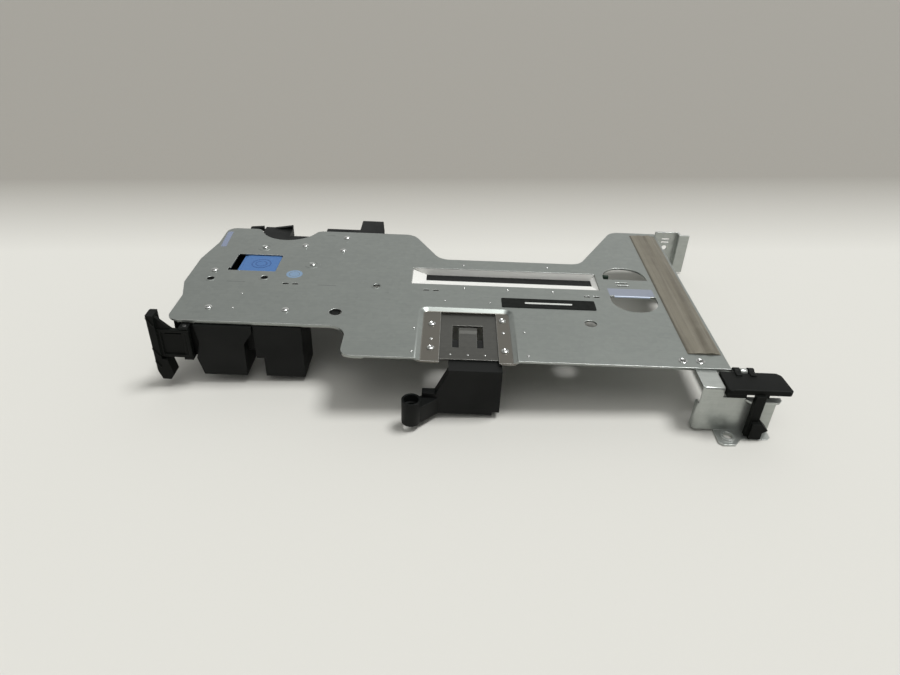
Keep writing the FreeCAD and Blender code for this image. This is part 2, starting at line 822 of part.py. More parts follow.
def make_plate_openings(body):
    """Cut the finger slot, the button opening, the lances and the round holes."""
    right = finger_left + S.finger_width
    bridge_far = S.bridge_near + S.bridge_width
    near_half = rectangle(finger_left, S.finger_near, right, S.bridge_near)
    loops = [near_half, rectangle(finger_left, bridge_far, right, S.finger_far)]
    sketch = extrude(body, "finger", "Z", plate_under, S.plate_top, loops, cut=True)
    round_corners(body, "finger_ends", sketch, [0, 1, 6, 7], S.finger_radius)
    notch_left = button_left - S.button_notch_reach
    opening = [
        (notch_left, S.button_near),
        (button_right, S.button_near),
        (button_right, button_far),
        (button_left, button_far),
        (button_left, S.button_near + S.button_notch),
        (notch_left, S.button_near + S.button_notch),
    ]
    extrude(body, "button_opening", "Z", plate_under, S.plate_top, [opening], cut=True)
    slots = []
    for x, y in LANCES:
        for side in (-1, 1):
            middle = x + side * (S.lance_bridge + S.lance_length) / 2
            half = S.lance_length / 2
            rise = S.lance_width / 2
            slots.append(rectangle(middle - half, y - rise, middle + half, y + rise))
    slit_right = right - S.slit_from_right + S.slit_length
    for step in range(GRIP_SLITS):
        slit_near = S.bridge_near + S.slit_from_near + S.slit_pitch * step
        slot = rectangle(slit_right - S.slit_length, slit_near, slit_right, slit_near + S.slit_width)
        slots.append(slot)
    extrude(body, "lances", "Z", plate_under, S.plate_top, slots, cut=True)
    rivets = GUIDE_RIVETS + FAR_RIVETS + BRACKET_RIVETS
    holes = [(spot, rivet_hole) for spot in rivets] + [(spot, S.pilot_radius) for spot in PILOT_HOLES]
    holes.append(((-S.tool_hole_left, S.tool_hole_left_y), S.tool_hole_radius))
    holes.append(((S.tool_hole_right, S.tool_hole_right_y), S.tool_hole_radius))
    extrude(body, "holes", "Z", plate_under, S.plate_top, circles=holes, cut=True)
    sunk = [(spot, rivet_hole) for spot in TONGUE_RIVETS]
    extrude(body, "sunk_holes", "Z", sink_under, sink_floor, circles=sunk, cut=True)


def make_top_plate():
    """Folded sheet plate."""
    body = new_body("top_plate")
    make_plate_outline(body)
    make_plate_scoop(body)
    make_plate_lip(body)
    make_plate_sink(body)
    make_plate_flap(body)
    make_plate_openings(body)


def make_foot_bracket():
    """Sheet with the cut tongue, riveted under the sunk panel."""
    body = new_body("foot_bracket")
    inset = S.sink_slope + S.plate_thick
    near = S.near_edge + S.tongue_sheet_set_back
    panel = rectangle(S.sink_left + inset, near, sink_right - inset, S.sink_far - S.sink_slope)
    extrude(body, "panel", "Z", foot_top, sink_under, [panel])
    tongue_right = S.tongue_left + S.tongue_width
    tongue_far = S.tongue_near + S.tongue_length
    slot = [
        (S.tongue_left - S.tongue_slot, S.tongue_near),
        (S.tongue_left, S.tongue_near),
        (S.tongue_left, tongue_far),
        (tongue_right, tongue_far),
        (tongue_right, S.tongue_near),
        (tongue_right + S.tongue_slot, S.tongue_near),
        (tongue_right + S.tongue_slot, tongue_far + S.tongue_slot),
        (S.tongue_left - S.tongue_slot, tongue_far + S.tongue_slot),
    ]
    extrude(body, "tongue_slot", "Z", foot_top, sink_under, [slot], cut=True)
    ridge = [
        (tongue_far - S.tongue_width / 2, sink_under),
        (tongue_far, sink_under),
        (tongue_far, sink_under + S.tongue_ridge),
        (tongue_far - S.tongue_width / 4, sink_under + S.tongue_ridge),
    ]
    extrude(body, "ridge", "X", S.tongue_left, tongue_right, [ridge])
    holes = [(spot, rivet_hole) for spot in TONGUE_RIVETS]
    extrude(body, "holes", "Z", foot_top, sink_under, circles=holes, cut=True)


def make_guide_foot():
    """Moulded foot with a shelf under the tongue sheet, a front wall and the locating socket."""
    body = new_body("guide_foot")
    right = S.foot_left + S.foot_width
    back = S.foot_front + S.foot_wall
    slant_top = foot_top - S.foot_shelf
    knee_x = S.foot_left - S.foot_slant_run
    knee_z = slant_top - S.foot_slant_drop
    wall = [
        (S.foot_left, foot_top),
        (S.foot_left, slant_top),
        (knee_x, knee_z),
        (knee_x, S.foot_bottom),
        (right - S.foot_step_width, S.foot_bottom),
        (right - S.foot_step_width, S.foot_bottom + S.foot_step),
        (right, S.foot_bottom + S.foot_step),
        (right, foot_top),
    ]
    extrude(body, "wall", "Y", S.foot_front, back, [wall])
    shelf = rectangle(S.foot_left, S.foot_front, right, S.foot_front + S.foot_shelf_depth)
    extrude(body, "shelf", "Z", slant_top, foot_top, [shelf])
    arm_top = S.foot_bottom + S.foot_arm_height
    arm = [
        (S.foot_arm_side, -S.foot_arm_front),
        (knee_x + S.foot_wall, S.foot_front),
        (knee_x + S.foot_wall, back),
        (knee_x - S.foot_wall, back),
        (-S.foot_arm_side, S.foot_arm_front),
    ]
    extrude(body, "arm", "Z", S.foot_bottom, arm_top, [arm])
    rib = [
        (S.foot_left, slant_top),
        (knee_x, knee_z),
        (knee_x + S.foot_rib, knee_z),
        (S.foot_left + S.foot_rib, slant_top),
    ]
    extrude(body, "rib", "Y", S.foot_front, S.foot_front + S.foot_rib_depth, [rib])
    box(
        body,
        "flange",
        (right - S.foot_flange, S.foot_front, S.foot_bottom + S.foot_step),
        (right, S.foot_front + S.foot_rib_depth, slant_top),
    )
    box(
        body,
        "raised_box",
        (S.foot_box_left, S.foot_front, arm_top - S.foot_box_height),
        (knee_x + S.foot_flange, S.foot_front + S.foot_box_depth, arm_top + S.foot_box_height),
    )
    extrude(body, "socket", "Z", 0, S.socket_height, circles=[((0, 0), S.socket_radius)])
    extrude(body, "bore", "Z", 0, S.socket_height, circles=[((0, 0), S.socket_bore)], cut=True)
    cup_floor = S.socket_height - S.socket_cup_depth
    extrude(body, "cup", "Z", cup_floor, S.socket_height, circles=[((0, 0), S.socket_cup)], cut=True)


def make_rear_bracket():
    """Folded bracket: top flange, rear wall, ledge, fixing foot and far hook."""
    body = new_body("rear_bracket")
    left = S.rear_edge - S.bracket_width
    ear_left = S.rear_edge - S.bracket_ear
    flange_under = plate_under - S.sheet
    neck_left = ledge_left + S.neck_inset
    neck_right = neck_left + S.neck_width
    far_inner = S.rear_far - S.sheet
    flange = [
        (neck_left, S.ledge_near),
        (neck_right, S.ledge_near),
        (neck_right, S.near_edge),
        (S.rear_edge, S.near_edge),
        (S.rear_edge, S.rear_far),
        (left, S.rear_far),
        (left, S.bracket_ear_far),
        (ear_left, S.bracket_ear_far),
        (ear_left, S.near_edge + S.sheet),
        (neck_left, S.near_edge + S.sheet),
    ]
    extrude(body, "flange", "Z", flange_under, plate_under, [flange])
    wall_near = hinge_y + S.knuckle_radius / 2
    wall = [
        (ledge_back, bracket_bottom),
        (S.rear_far, bracket_bottom + S.sheet),
        (S.rear_far, flange_under),
        (wall_near, flange_under),
        (wall_near, ledge_top),
        (ledge_back, ledge_top),
    ]
    extrude(body, "wall", "X", wall_inner, S.rear_edge, [wall])
    window_top = S.plate_top - S.slot_window_drop
    window = rectangle(
        S.slot_window_near,
        window_top - S.slot_window_height,
        S.slot_window_near + S.slot_window_length,
        window_top,
    )
    extrude(body, "slot_window", "X", wall_inner, S.rear_edge, [window], cut=True)
    curl_top = bracket_bottom + S.curl_height
    ledge = [
        (ledge_left, bracket_bottom),
        (ledge_right, bracket_bottom),
        (ledge_right, ledge_top),
        (neck_right, ledge_top),
        (neck_right, flange_under),
        (neck_left, flange_under),
        (neck_left, curl_top),
        (ledge_left, curl_top),
    ]
    extrude(body, "ledge", "Y", S.ledge_near, ledge_back, [ledge])
    box(
        body,
        "curl",
        (ledge_left, ledge_back, bracket_bottom),
        (ledge_left + S.sheet, S.ledge_near + S.curl_depth, curl_top),
    )
    middle = bracket_bottom + S.curl_height / 2
    round_at(body, "curl_bend", [(ledge_left, S.ledge_near, middle)], S.curl_radius)
    bend_x = neck_left + S.neck_width / 2
    round_at(body, "neck_bend", [(bend_x, S.ledge_near, plate_under)], S.sheet)
    make_bracket_foot(body)
    make_bracket_shelf(body)
    make_bracket_lug(body, wall_near)
    make_bracket_hook(body, far_inner)
    holes = [(spot, rivet_hole) for spot in BRACKET_RIVETS]
    extrude(body, "holes", "Z", flange_under, plate_under, circles=holes, cut=True)


def make_bracket_foot(body):
    """Bottom flange with the fixing hole in its lobe."""
    left = ledge_left + S.neck_inset + S.neck_width
    lobe_right = left + S.fixing_reach * 2 - S.sheet
    rail = S.ledge_near - S.foot_rail_reach
    lobe = S.ledge_near - S.foot_lobe_reach
    outline = [
        (left, ledge_back),
        (left, lobe + S.bend_radius),
        (left + S.bend_radius, lobe),
        (lobe_right - S.bend_radius, lobe),
        (lobe_right + S.bend_radius, rail),
        (ledge_right - S.bend_radius, rail),
        (ledge_right, rail + S.bend_radius),
        (ledge_right, ledge_back),
    ]
    under = bracket_bottom - S.sheet
    extrude(body, "foot", "Z", under, bracket_bottom, [outline])
    centre = (left + S.fixing_reach, S.ledge_near - S.fixing_reach)
    collar_top = bracket_bottom + S.fixing_collar_height
    extrude(body, "collar", "Z", bracket_bottom, collar_top, circles=[(centre, S.fixing_collar)])
    extrude(body, "fixing_hole", "Z", under, collar_top, circles=[(centre, S.fixing_bore)], cut=True)


def make_bracket_shelf(body):
    """Short shelf folded out of the ledge's top, notched for the latch lever."""
    near = S.ledge_near - S.shelf_reach
    left = lever_left - S.shelf_left_of_lever
    clear = S.lever_clearance
    outline = [
        (left, ledge_back),
        (left, near + S.bend_radius),
        (left + S.bend_radius, near),
        (lever_left - clear, near),
        (lever_left - clear, S.ledge_near - S.lever_gap / 2),
        (lever_right + clear, S.ledge_near - S.lever_gap / 2),
        (lever_right + clear, near),
        (left + S.shelf_width - S.bend_radius, near),
        (left + S.shelf_width, near + S.bend_radius),
        (left + S.shelf_width, ledge_back),
    ]
    extrude(body, "shelf", "Z", ledge_top - S.sheet, ledge_top, [outline])


def make_bracket_lug(body, wall_near):
    """Panel folded out of the rear wall, with the curl that holds the latch pin."""
    panel = [
        (wall_inner, bracket_bottom + S.sheet),
        (lug_right, bracket_bottom + S.sheet),
        (lug_right, hinge_z),
        (lug_left, hinge_z),
        (lug_left, ledge_top),
        (wall_inner, ledge_top),
    ]
    extrude(body, "lug_panel", "Y", wall_near - S.sheet / 2, wall_near + S.sheet / 2, [panel])
    centre = (hinge_y, hinge_z)
    extrude(body, "lug_curl", "X", lug_left, lug_right, circles=[(centre, lug_radius)])
    extrude(body, "lug_bore", "X", lug_left, lug_right, circles=[(centre, pin_bore)], cut=True)


def make_bracket_hook(body, far_inner):
    """Web past the rear wall that turns back into a hook at the far end."""
    web_right = S.rear_edge + S.hook_run
    tip_y = S.rear_far - S.hook_return
    plan = [
        (wall_inner, far_inner),
        (web_right - S.sheet, far_inner),
        (web_right - S.sheet, tip_y),
        (web_right + S.hook_tip, tip_y),
        (web_right + S.hook_tip, tip_y + S.sheet),
        (web_right, tip_y + S.sheet),
        (web_right, S.rear_far),
        (wall_inner, S.rear_far),
    ]
    bottom = bracket_bottom + S.sheet
    sketch = extrude(body, "hook", "Z", bottom, plate_under + S.hook_rise, [plan])
    round_corners(body, "hook_bend", sketch, [6], S.sheet)
    box(
        body,
        "hook_relief",
        (wall_inner, far_inner, plate_under),
        (S.rear_edge + S.side_clearance, S.rear_far, plate_under + S.hook_rise),
        cut=True,
    )
    hole_x = S.rear_edge + S.hook_run / 2
    half = S.web_slot_length / 2
    slots = []
    for step in (1, 3):
        slot_z = plate_under - S.web_slot_height * step
        slots.append(rectangle(hole_x - half, slot_z - S.web_slot_height, hole_x + half, slot_z))
    extrude(body, "web_slots", "Y", far_inner, S.rear_far, slots, cut=True)
    hole = ((hole_x, plate_under - S.web_hole_drop), S.web_hole_radius)
    extrude(body, "web_hole", "Y", far_inner, S.rear_far, circles=[hole], cut=True)


def make_gasket():
    """Conductive foam strip with two ridges."""
    body = new_body("emi_gasket")
    right = S.rear_edge - S.gasket_inset
    left = right - S.gasket_width
    crown = S.plate_top + S.gasket_height
    groove = crown - S.gasket_groove
    edge = S.plate_top + S.gasket_groove
    crest_left = left + S.gasket_flat + S.gasket_slope
    groove_left = crest_left + S.gasket_crest
    groove_x = groove_left + S.gasket_groove_run
    section = [
        (left, S.plate_top),
        (right, S.plate_top),
        (right, edge),
        (right - S.gasket_slope, crown),
        (groove_x + S.gasket_groove_run, crown),
        (groove_x, groove),
        (groove_left, crown),
        (crest_left, crown),
        (left + S.gasket_flat, edge),
        (left, edge),
    ]
    far = S.gasket_near + S.gasket_length
    sketch = extrude(body, "strip", "Y", S.gasket_near, far, [section])
    round_corners(body, "ridges", sketch, [3, 4, 6, 7], S.gasket_groove)


def make_label():
    """Thin blank label."""
    body = new_body("id_label")
    corners = rectangle(
        S.label_left, S.label_near, S.label_left + S.label_length, S.label_near + S.label_width
    )
    extrude(body, "film", "Z", S.plate_top, S.plate_top + S.label_thick, [corners])


def make_card_latch():
    """Latch pad with knuckles at its far side and a hooked lever in front of the ledge."""
    body = new_body("card_latch")
    pad_bottom = S.plate_top - S.pad_thick
    pad_far = S.near_edge - S.pad_gap
    pad_near = pad_far - S.pad_depth
    left = S.rear_edge - S.pad_left_of_rear
    right = S.rear_edge + S.pad_reach
    pad = [
        (left, pad_near),
        (right, pad_near),
        (right - S.pad_skew, pad_far - S.pad_chamfer),
        (right - S.pad_skew - S.pad_chamfer, pad_far),
        (left, pad_far),
    ]
    sketch = extrude(body, "pad", "Z", pad_bottom, S.plate_top, [pad])
    round_corners(body, "pad_corners", sketch, [0, 1, 2, 3], S.bend_radius)
    lip = rectangle(left + S.bend_radius, pad_near, right - S.bend_radius, pad_near + S.pad_lip)
    extrude(body, "pad_lip", "Z", S.plate_top, S.plate_top + S.pad_lip_height, [lip])
    box(
        body,
        "pad_block",
        (left, pad_near + S.pad_lip, pad_bottom - S.pad_block_drop),
        (left + S.pad_block_width, pad_near + S.pad_lip + S.pad_block_depth, pad_bottom),
    )
    relief = rectangle(
        lug_left - S.side_clearance,
        hinge_y - lug_radius - S.lever_clearance,
        lug_right + S.side_clearance,
        pad_far,
    )
    extrude(body, "lug_relief", "Z", pad_bottom, S.plate_top, [relief], cut=True)
    near_knuckle = lug_left - S.side_clearance - S.knuckle_width
    far_knuckle = lug_right + S.side_clearance
    for index, start in enumerate((near_knuckle, far_knuckle)):
        end = start + S.knuckle_width
        foot = pad_far - S.knuckle_foot
        arm = rectangle(foot, pad_bottom, hinge_y, S.plate_top + S.knuckle_rise)
        extrude(body, f"arm_{index}", "X", start, end, [arm])
        eye = ((hinge_y, hinge_z), S.knuckle_radius)
        extrude(body, f"knuckle_{index}", "X", start, end, circles=[eye])
        bore = ((hinge_y, hinge_z), pin_bore)
        extrude(body, f"bore_{index}", "X", start, end, circles=[bore], cut=True)
    lever_back = S.ledge_near - S.lever_gap
    lever_front = lever_back - S.lever_thick
    catch_bottom = bracket_bottom + S.lever_clearance
    lever = rectangle(lever_left, lever_front, lever_right, lever_back)
    extrude(body, "lever", "Z", catch_bottom, pad_bottom, [lever])
    boss_left = lever_left + S.boss_left
    box(
        body,
        "boss",
        (boss_left, lever_back, pad_bottom - S.pad_block_drop),
        (boss_left + S.boss_width, lever_back + S.boss_depth, pad_bottom),
    )
    catch_left = lever_left + S.catch_offset
    catch = [
        (catch_left, catch_bottom),
        (catch_left + S.catch_width, catch_bottom),
        (catch_left + S.catch_width, catch_bottom + S.catch_cheek),
        (catch_left + S.catch_reach, catch_bottom + S.catch_nose),
        (catch_left + S.catch_crown, catch_bottom + S.catch_height),
        (catch_left, catch_bottom + S.catch_height),
    ]
    extrude(body, "catch", "Y", lever_back - S.catch_depth, lever_back, [catch])
    rod_start = near_knuckle - S.side_clearance
    pin_length = far_knuckle + S.knuckle_width + S.side_clearance - rod_start
    pin_rod = rod("card_latch_pin", "X", (rod_start, hinge_y, hinge_z), pin_length, S.hinge_pin_radius)
    pin_rod.Label = "card_latch_pin"
    NODES.append(pin_rod)


def make_card_guide():
    """Moulded guide: a web under the plate with a waisted duct, a leg and a heel."""
    body = new_body("card_guide")
    left = left_edge + S.guide_inset
    right = left + S.guide_width
    clear = S.button_gap
    step_x = S.far_left - clear
    step_y = S.far_near - clear
    web = [
        (left, S.guide_near),
        (right, S.guide_near),
        (right, step_y),
        (step_x, step_y),
        (step_x, S.guide_far),
        (left, S.guide_far),
    ]
    hole = rectangle(
        housing_left - clear, housing_near - clear, housing_right + clear, housing_far + clear
    )
    extrude(body, "web", "Z", web_under, plate_under, [web, hole])
    duct_right = duct_left + S.duct_width
    duct_bottom = plate_under - S.duct_drop
    waist = plate_under - S.duct_waist_drop
    front = [
        (duct_left, plate_under),
        (duct_left + S.duct_lean, waist),
        (duct_left - S.duct_belly, plate_under - S.duct_belly_drop),
        (duct_left + S.duct_toe, duct_bottom),
        (duct_right - S.duct_toe_right, duct_bottom),
        (duct_right - S.duct_waist, waist),
        (duct_right, plate_under - S.duct_waist),
        (duct_right, plate_under),
    ]
    duct_back = S.duct_front + S.duct_depth
    # The duct's top stands in front of the lip, so it starts below the lip's lower edge.
    ceiling = plate_under - S.lip_drop - S.side_clearance
    extrude(body, "duct", "Y", S.duct_front, duct_back, [front])
    leg_right = leg_left + S.leg_width
    leg_bottom = plate_under - S.leg_drop
    leg = [
        (leg_left, plate_under),
        (leg_left, leg_bottom + S.leg_notch_height),
        (leg_left + S.leg_notch, leg_bottom + S.leg_notch_height),
        (leg_left + S.leg_notch, leg_bottom),
        (leg_right, leg_bottom),
        (leg_right, plate_under),
    ]
    leg_back = S.leg_front + S.leg_depth
    extrude(body, "leg", "Y", S.leg_front, leg_back, [leg])
    box(
        body,
        "bridge",
        (duct_right - S.duct_toe_right, S.leg_front + S.bridge_set_back, leg_bottom + S.bridge_floor),
        (leg_left + S.leg_notch, leg_back, plate_under),
    )
    heel = rectangle(heel_left, plate_under - S.heel_drop, heel_left + S.heel_width, plate_under)
    extrude(body, "heel", "Y", S.heel_near, S.heel_far, [heel])
    make_guide_fin(body)
    box(
        body,
        "cheek",
        (end_hinge_x - S.cheek_left, cheek_near, end_arm_bottom - S.side_clearance - S.end_lug),
        (duct_left + S.duct_waist, cheek_near + S.cheek_thick, plate_under),
    )
    wall = S.guide_wall
    hollow_duct = rectangle(
        duct_left + S.duct_waist, duct_bottom + wall, duct_right - S.duct_waist - wall, web_under
    )
    extrude(body, "duct_hollow", "Y", S.duct_front + wall, duct_back, [hollow_duct], cut=True)
    hollow_leg = rectangle(
        leg_left + S.leg_notch + wall, leg_bottom + wall, leg_right - wall, web_under
    )
    extrude(body, "leg_hollow", "Y", S.leg_front + wall, leg_back, [hollow_leg], cut=True)
    hollow_heel = rectangle(
        heel_left + wall, plate_under - S.heel_drop + wall, heel_left + S.heel_width - wall, web_under
    )
    extrude(body, "heel_hollow", "Y", S.heel_near, S.heel_far - wall, [hollow_heel], cut=True)
    lip_back = S.wing_near + S.plate_thick + S.side_clearance
    box(
        body,
        "lip_relief",
        (left, S.duct_front, ceiling),
        (right, lip_back, plate_under),
        cut=True,
    )
    make_guide_lugs(body)
    holes = [(spot, rivet_hole) for spot in GUIDE_RIVETS]
    extrude(body, "holes", "Z", web_under, plate_under, circles=holes, cut=True)


def make_guide_fin(body):
    """Upright fin behind the scoop, with a sloping top and a low tail."""
    right = heel_left + S.heel_width
    tail_right = heel_left - S.fin_gap
    low = plate_under - S.fin_low
    fin = [
        (heel_left - S.fin_tail, plate_under - S.fin_root),
        (right, plate_under - S.fin_root),
        (right, plate_under + S.fin_rise),
        (heel_left, low),
        (tail_right, plate_under - S.fin_notch),
        (tail_right, plate_under + S.fin_tail_rise),
        (heel_left - S.fin_tail, plate_under),
    ]
    extrude(body, "fin", "Y", S.heel_far - S.fin_thick, S.heel_far, [fin])


def make_guide_lugs(body):
    """Lugs above and below the end latch's barrel, drilled for its pin."""
    gap = S.side_clearance
    radius = S.end_barrel_radius
    centre = ((end_hinge_x, S.end_hinge_y), S.end_pin_radius + S.pin_clearance)
    levels = [
        (end_arm_top + gap, end_arm_top + gap + S.end_lug),
        (end_arm_bottom - gap - S.end_lug, end_arm_bottom - gap),
    ]
    for index, (low, high) in enumerate(levels):
        lug = rectangle(
            end_hinge_x - radius,
            S.end_hinge_y - radius,
            end_hinge_x + radius,
            cheek_near + S.cheek_thick,
        )
        extrude(body, f"lug_{index}", "Z", low, high, [lug])
        extrude(body, f"lug_bore_{index}", "Z", low, high, circles=[centre], cut=True)


def make_end_latch():
    """Finger latch on a short arm, with a barrel round its upright pin."""
    body = new_body("end_latch")
    centre = (end_hinge_x, S.end_hinge_y)
    grip_right = end_hinge_x - S.end_grip_reach + S.end_grip_thick
    grip_left = grip_right - S.end_grip_thick
    front = S.end_hinge_y - S.end_arm_thick
    arm_right = end_hinge_x + S.end_barrel_radius
    arm = rectangle(grip_right, front, arm_right, S.end_hinge_y)
    extrude(body, "arm", "Z", end_arm_bottom, end_arm_top, [arm])
    margin = S.end_recess_margin
    recess = rectangle(
        grip_right + margin, end_arm_bottom + margin, arm_right - margin, end_arm_top - margin
    )
    extrude(body, "recess", "Y", front, front + S.end_recess, [recess], cut=True)
    slot_top = end_arm_top - margin
    slot = rectangle(
        arm_right - margin - S.end_slot_length, slot_top - S.end_slot_height, arm_right - margin, slot_top
    )
    extrude(body, "slot", "Y", front, front + S.end_slot_depth, [slot], cut=True)
    extrude(body, "barrel", "Z", end_arm_bottom, end_arm_top, circles=[(centre, S.end_barrel_radius)])
    top = S.plate_top + S.end_grip_above
    bottom = top - S.end_grip_height
    grip_near = S.end_hinge_y - S.end_grip_depth / 2
    grip_far = grip_near + S.end_grip_depth
    grip = rectangle(grip_left, grip_near, grip_right, grip_far)
    sketch = extrude(body, "grip", "Z", bottom, top, [grip])
    round_corners(body, "grip_edges", sketch, [0, 3], S.end_grip_round)
    gusset = [
        (grip_right, end_arm_top),
        (grip_right + S.end_gusset_run, end_arm_top),
        (grip_right, top - S.end_gusset_drop),
    ]
    gusset_near = S.end_hinge_y - S.end_gusset_thick
    extrude(body, "gusset", "Y", gusset_near, S.end_hinge_y, [gusset])
    toe = [
        (grip_left, bottom),
        (grip_left + S.end_grip_toe_run, bottom),
        (grip_left, bottom + S.end_grip_toe),
    ]
    extrude(body, "toe", "Y", grip_near, grip_far, [toe], cut=True)
    knob = [
        (grip_right, bottom),
        (grip_right + S.end_knob_foot, bottom),
        (grip_right + S.end_knob_reach, bottom + S.end_knob_foot),
        (grip_right + S.end_knob_foot, bottom + S.end_knob_height),
        (grip_right, bottom + S.end_knob_height),
    ]
    extrude(body, "knob", "Y", grip_near, grip_far, [knob])
    bore = S.end_pin_radius + S.pin_clearance
    extrude(body, "bore", "Z", end_arm_bottom, end_arm_top, circles=[(centre, bore)], cut=True)
    gap = S.side_clearance
    start = end_arm_bottom - gap - S.end_lug
    length = S.end_arm_height + (gap + S.end_lug) * 2
    pin_rod = rod("end_latch_pin", "Z", (centre[0], centre[1], start), length, S.end_pin_radius)
    pin_rod.Label = "end_latch_pin"
    NODES.append(pin_rod)


def make_release_button():
    """Sliding button with a retaining flange, a spring rib and a release hook."""
    body = new_body("release_button")
    gap = S.button_gap
    top = S.plate_top - S.button_recess
    cap_near = S.button_near + gap
    cap_far = button_far - gap
    flange_top = plate_under - gap
    flange_bottom = flange_top - S.button_flange_thick
    rim = S.button_flange + gap
    flange = rectangle(cap_left - rim, cap_near - rim, cap_right + rim, cap_far + rim)
    extrude(body, "flange", "Z", flange_bottom, flange_top, [flange])
    cap = rectangle(cap_left, cap_near, cap_right, cap_far)
    sketch = extrude(body, "cap", "Z", flange_top, top, [cap])
    round_corners(body, "cap_corners", sketch, [0, 1, 2, 3], S.button_flange)
    middle_y = (cap_near + cap_far) / 2
    half = S.release_hook_width / 2
    hook_bottom = S.plate_top - S.release_hook_drop
    nose_x = button_middle + S.release_hook_thick + S.release_hook_nose
    hook = [
        (button_middle, flange_bottom),
        (button_middle, hook_bottom + S.release_hook_thick),
        (button_middle, hook_bottom),
        (button_middle + S.release_hook_thick, hook_bottom),
        (nose_x, hook_bottom + S.release_hook_thick / 2),
        (button_middle + S.release_hook_thick, hook_bottom + S.release_hook_thick),
        (button_middle + S.release_hook_thick, flange_bottom),
    ]
    extrude(body, "hook", "Y", middle_y - half, middle_y + half, [hook])


def make_button_housing():
    """Moulded box that holds and guides the button under the plate."""
    body = new_body("button_housing")
    wall = S.housing_wall
    outer = rectangle(housing_left, housing_near, housing_right, housing_far)
    extrude(body, "shell", "Z", housing_bottom, plate_under, [outer])
    inner = rectangle(housing_left + wall, housing_near + wall, housing_right - wall, housing_far - wall)
    extrude(body, "hollow", "Z", housing_bottom + wall, plate_under, [inner], cut=True)
    middle_y = (S.button_near + button_far) / 2
    half = S.release_hook_width / 2 + S.button_flange
    slot = rectangle(
        button_middle - S.button_travel - S.button_flange,
        middle_y - half,
        button_middle + S.release_hook_thick + S.release_hook_nose + S.button_flange,
        middle_y + half,
    )
    extrude(body, "hook_slot", "Z", housing_bottom, housing_bottom + wall, [slot], cut=True)
    rail_top = plate_under - S.button_gap * 2 - S.button_flange_thick
    for index, near in enumerate((housing_near + wall, housing_far - wall - S.housing_rail)):
        box(
            body,
            f"rail_{index}",
            (housing_left + wall, near, housing_bottom + wall),
            (housing_right - wall, near + S.housing_rail, rail_top),
        )


def make_button_spring():
    """Return spring between the housing's left wall and the button's hook."""
    start_x = housing_left + S.housing_wall + S.spring_wire
    middle_y = (S.button_near + button_far) / 2
    level = S.plate_top - S.spring_drop
    length = button_middle - start_x - S.spring_wire
    helix = doc.addObject("Part::Helix", "spring_line")
    helix.setExpression("Radius", S.spring_radius.text)
    helix.setExpression("Height", length.text)
    helix.setExpression("Pitch", (length / S.spring_turns).text)
    helix.Placement = FreeCAD.Placement(FreeCAD.Vector(), TURNS["X"])
    place(helix, start_x, middle_y, level)
    wire = doc.addObject("Part::RegularPolygon", "spring_section")
    wire.Polygon = WIRE_SIDES
    wire.setExpression("Circumradius", S.spring_wire.text)
    wire.Placement = FreeCAD.Placement(FreeCAD.Vector(), TURNS["Y"])
    place(wire, start_x, middle_y, level - S.spring_radius)
    doc.recompute()
    sweep = doc.addObject("Part::Sweep", "button_spring")
    sweep.Label = "button_spring"
    sweep.Sections = [wire]
    sweep.Spine = (helix, [f"Edge{index}" for index in range(1, len(helix.Shape.Edges) + 1)])
    sweep.Solid = True
    sweep.Frenet = True
    NODES.append(sweep)


def make_riser_board():
    """Upright circuit board with a keyed edge tab."""
    body = new_body("riser_board")
    top = plate_under - S.board_gap
    bottom = top - S.board_height
    tab_bottom = bottom - S.tab_drop
    tab_right = S.tab_left + S.tab_length
    key_left = S.tab_left + S.tab_key_at
    outline = [
        (S.board_left, top),
        (S.board_left, bottom),
        (S.tab_left, bottom),
        (S.tab_left, tab_bottom),
        (key_left, tab_bottom),
        (key_left, bottom),
        (key_left + S.tab_key, bottom),
        (key_left + S.tab_key, tab_bottom),
        (tab_right, tab_bottom),
        (tab_right, bottom),
        (S.board_left + S.board_length, bottom),
        (S.board_left + S.board_length, top),
    ]
    extrude(body, "sheet", "Y", flap_far, board_far, [outline])
    hole = S.screw_radius + S.screw_clearance
    holes = [((x, screw_level), hole) for x in SCREW_PLACES]
    extrude(body, "holes", "Y", flap_far, board_far, circles=holes, cut=True)


def make_slot_connector():
    """Long card slot that reaches through the flap towards the card bay."""
    body = new_body("slot_connector")
    near = flap_far - S.slot_depth
    block = rectangle(slot_left, slot_bottom, slot_right, slot_top)
    extrude(body, "block", "Y", near, flap_far, [block])
    middle = (slot_bottom + slot_top) / 2
    half = S.slot_mouth / 2
    key = slot_left + S.slot_key_at
    mouths = [
        rectangle(slot_left + S.slot_end, middle - half, key, middle + half),
        rectangle(key + S.slot_key, middle - half, slot_right - S.slot_end, middle + half),
    ]
    extrude(body, "mouths", "Y", near, near + S.slot_mouth_depth, mouths, cut=True)


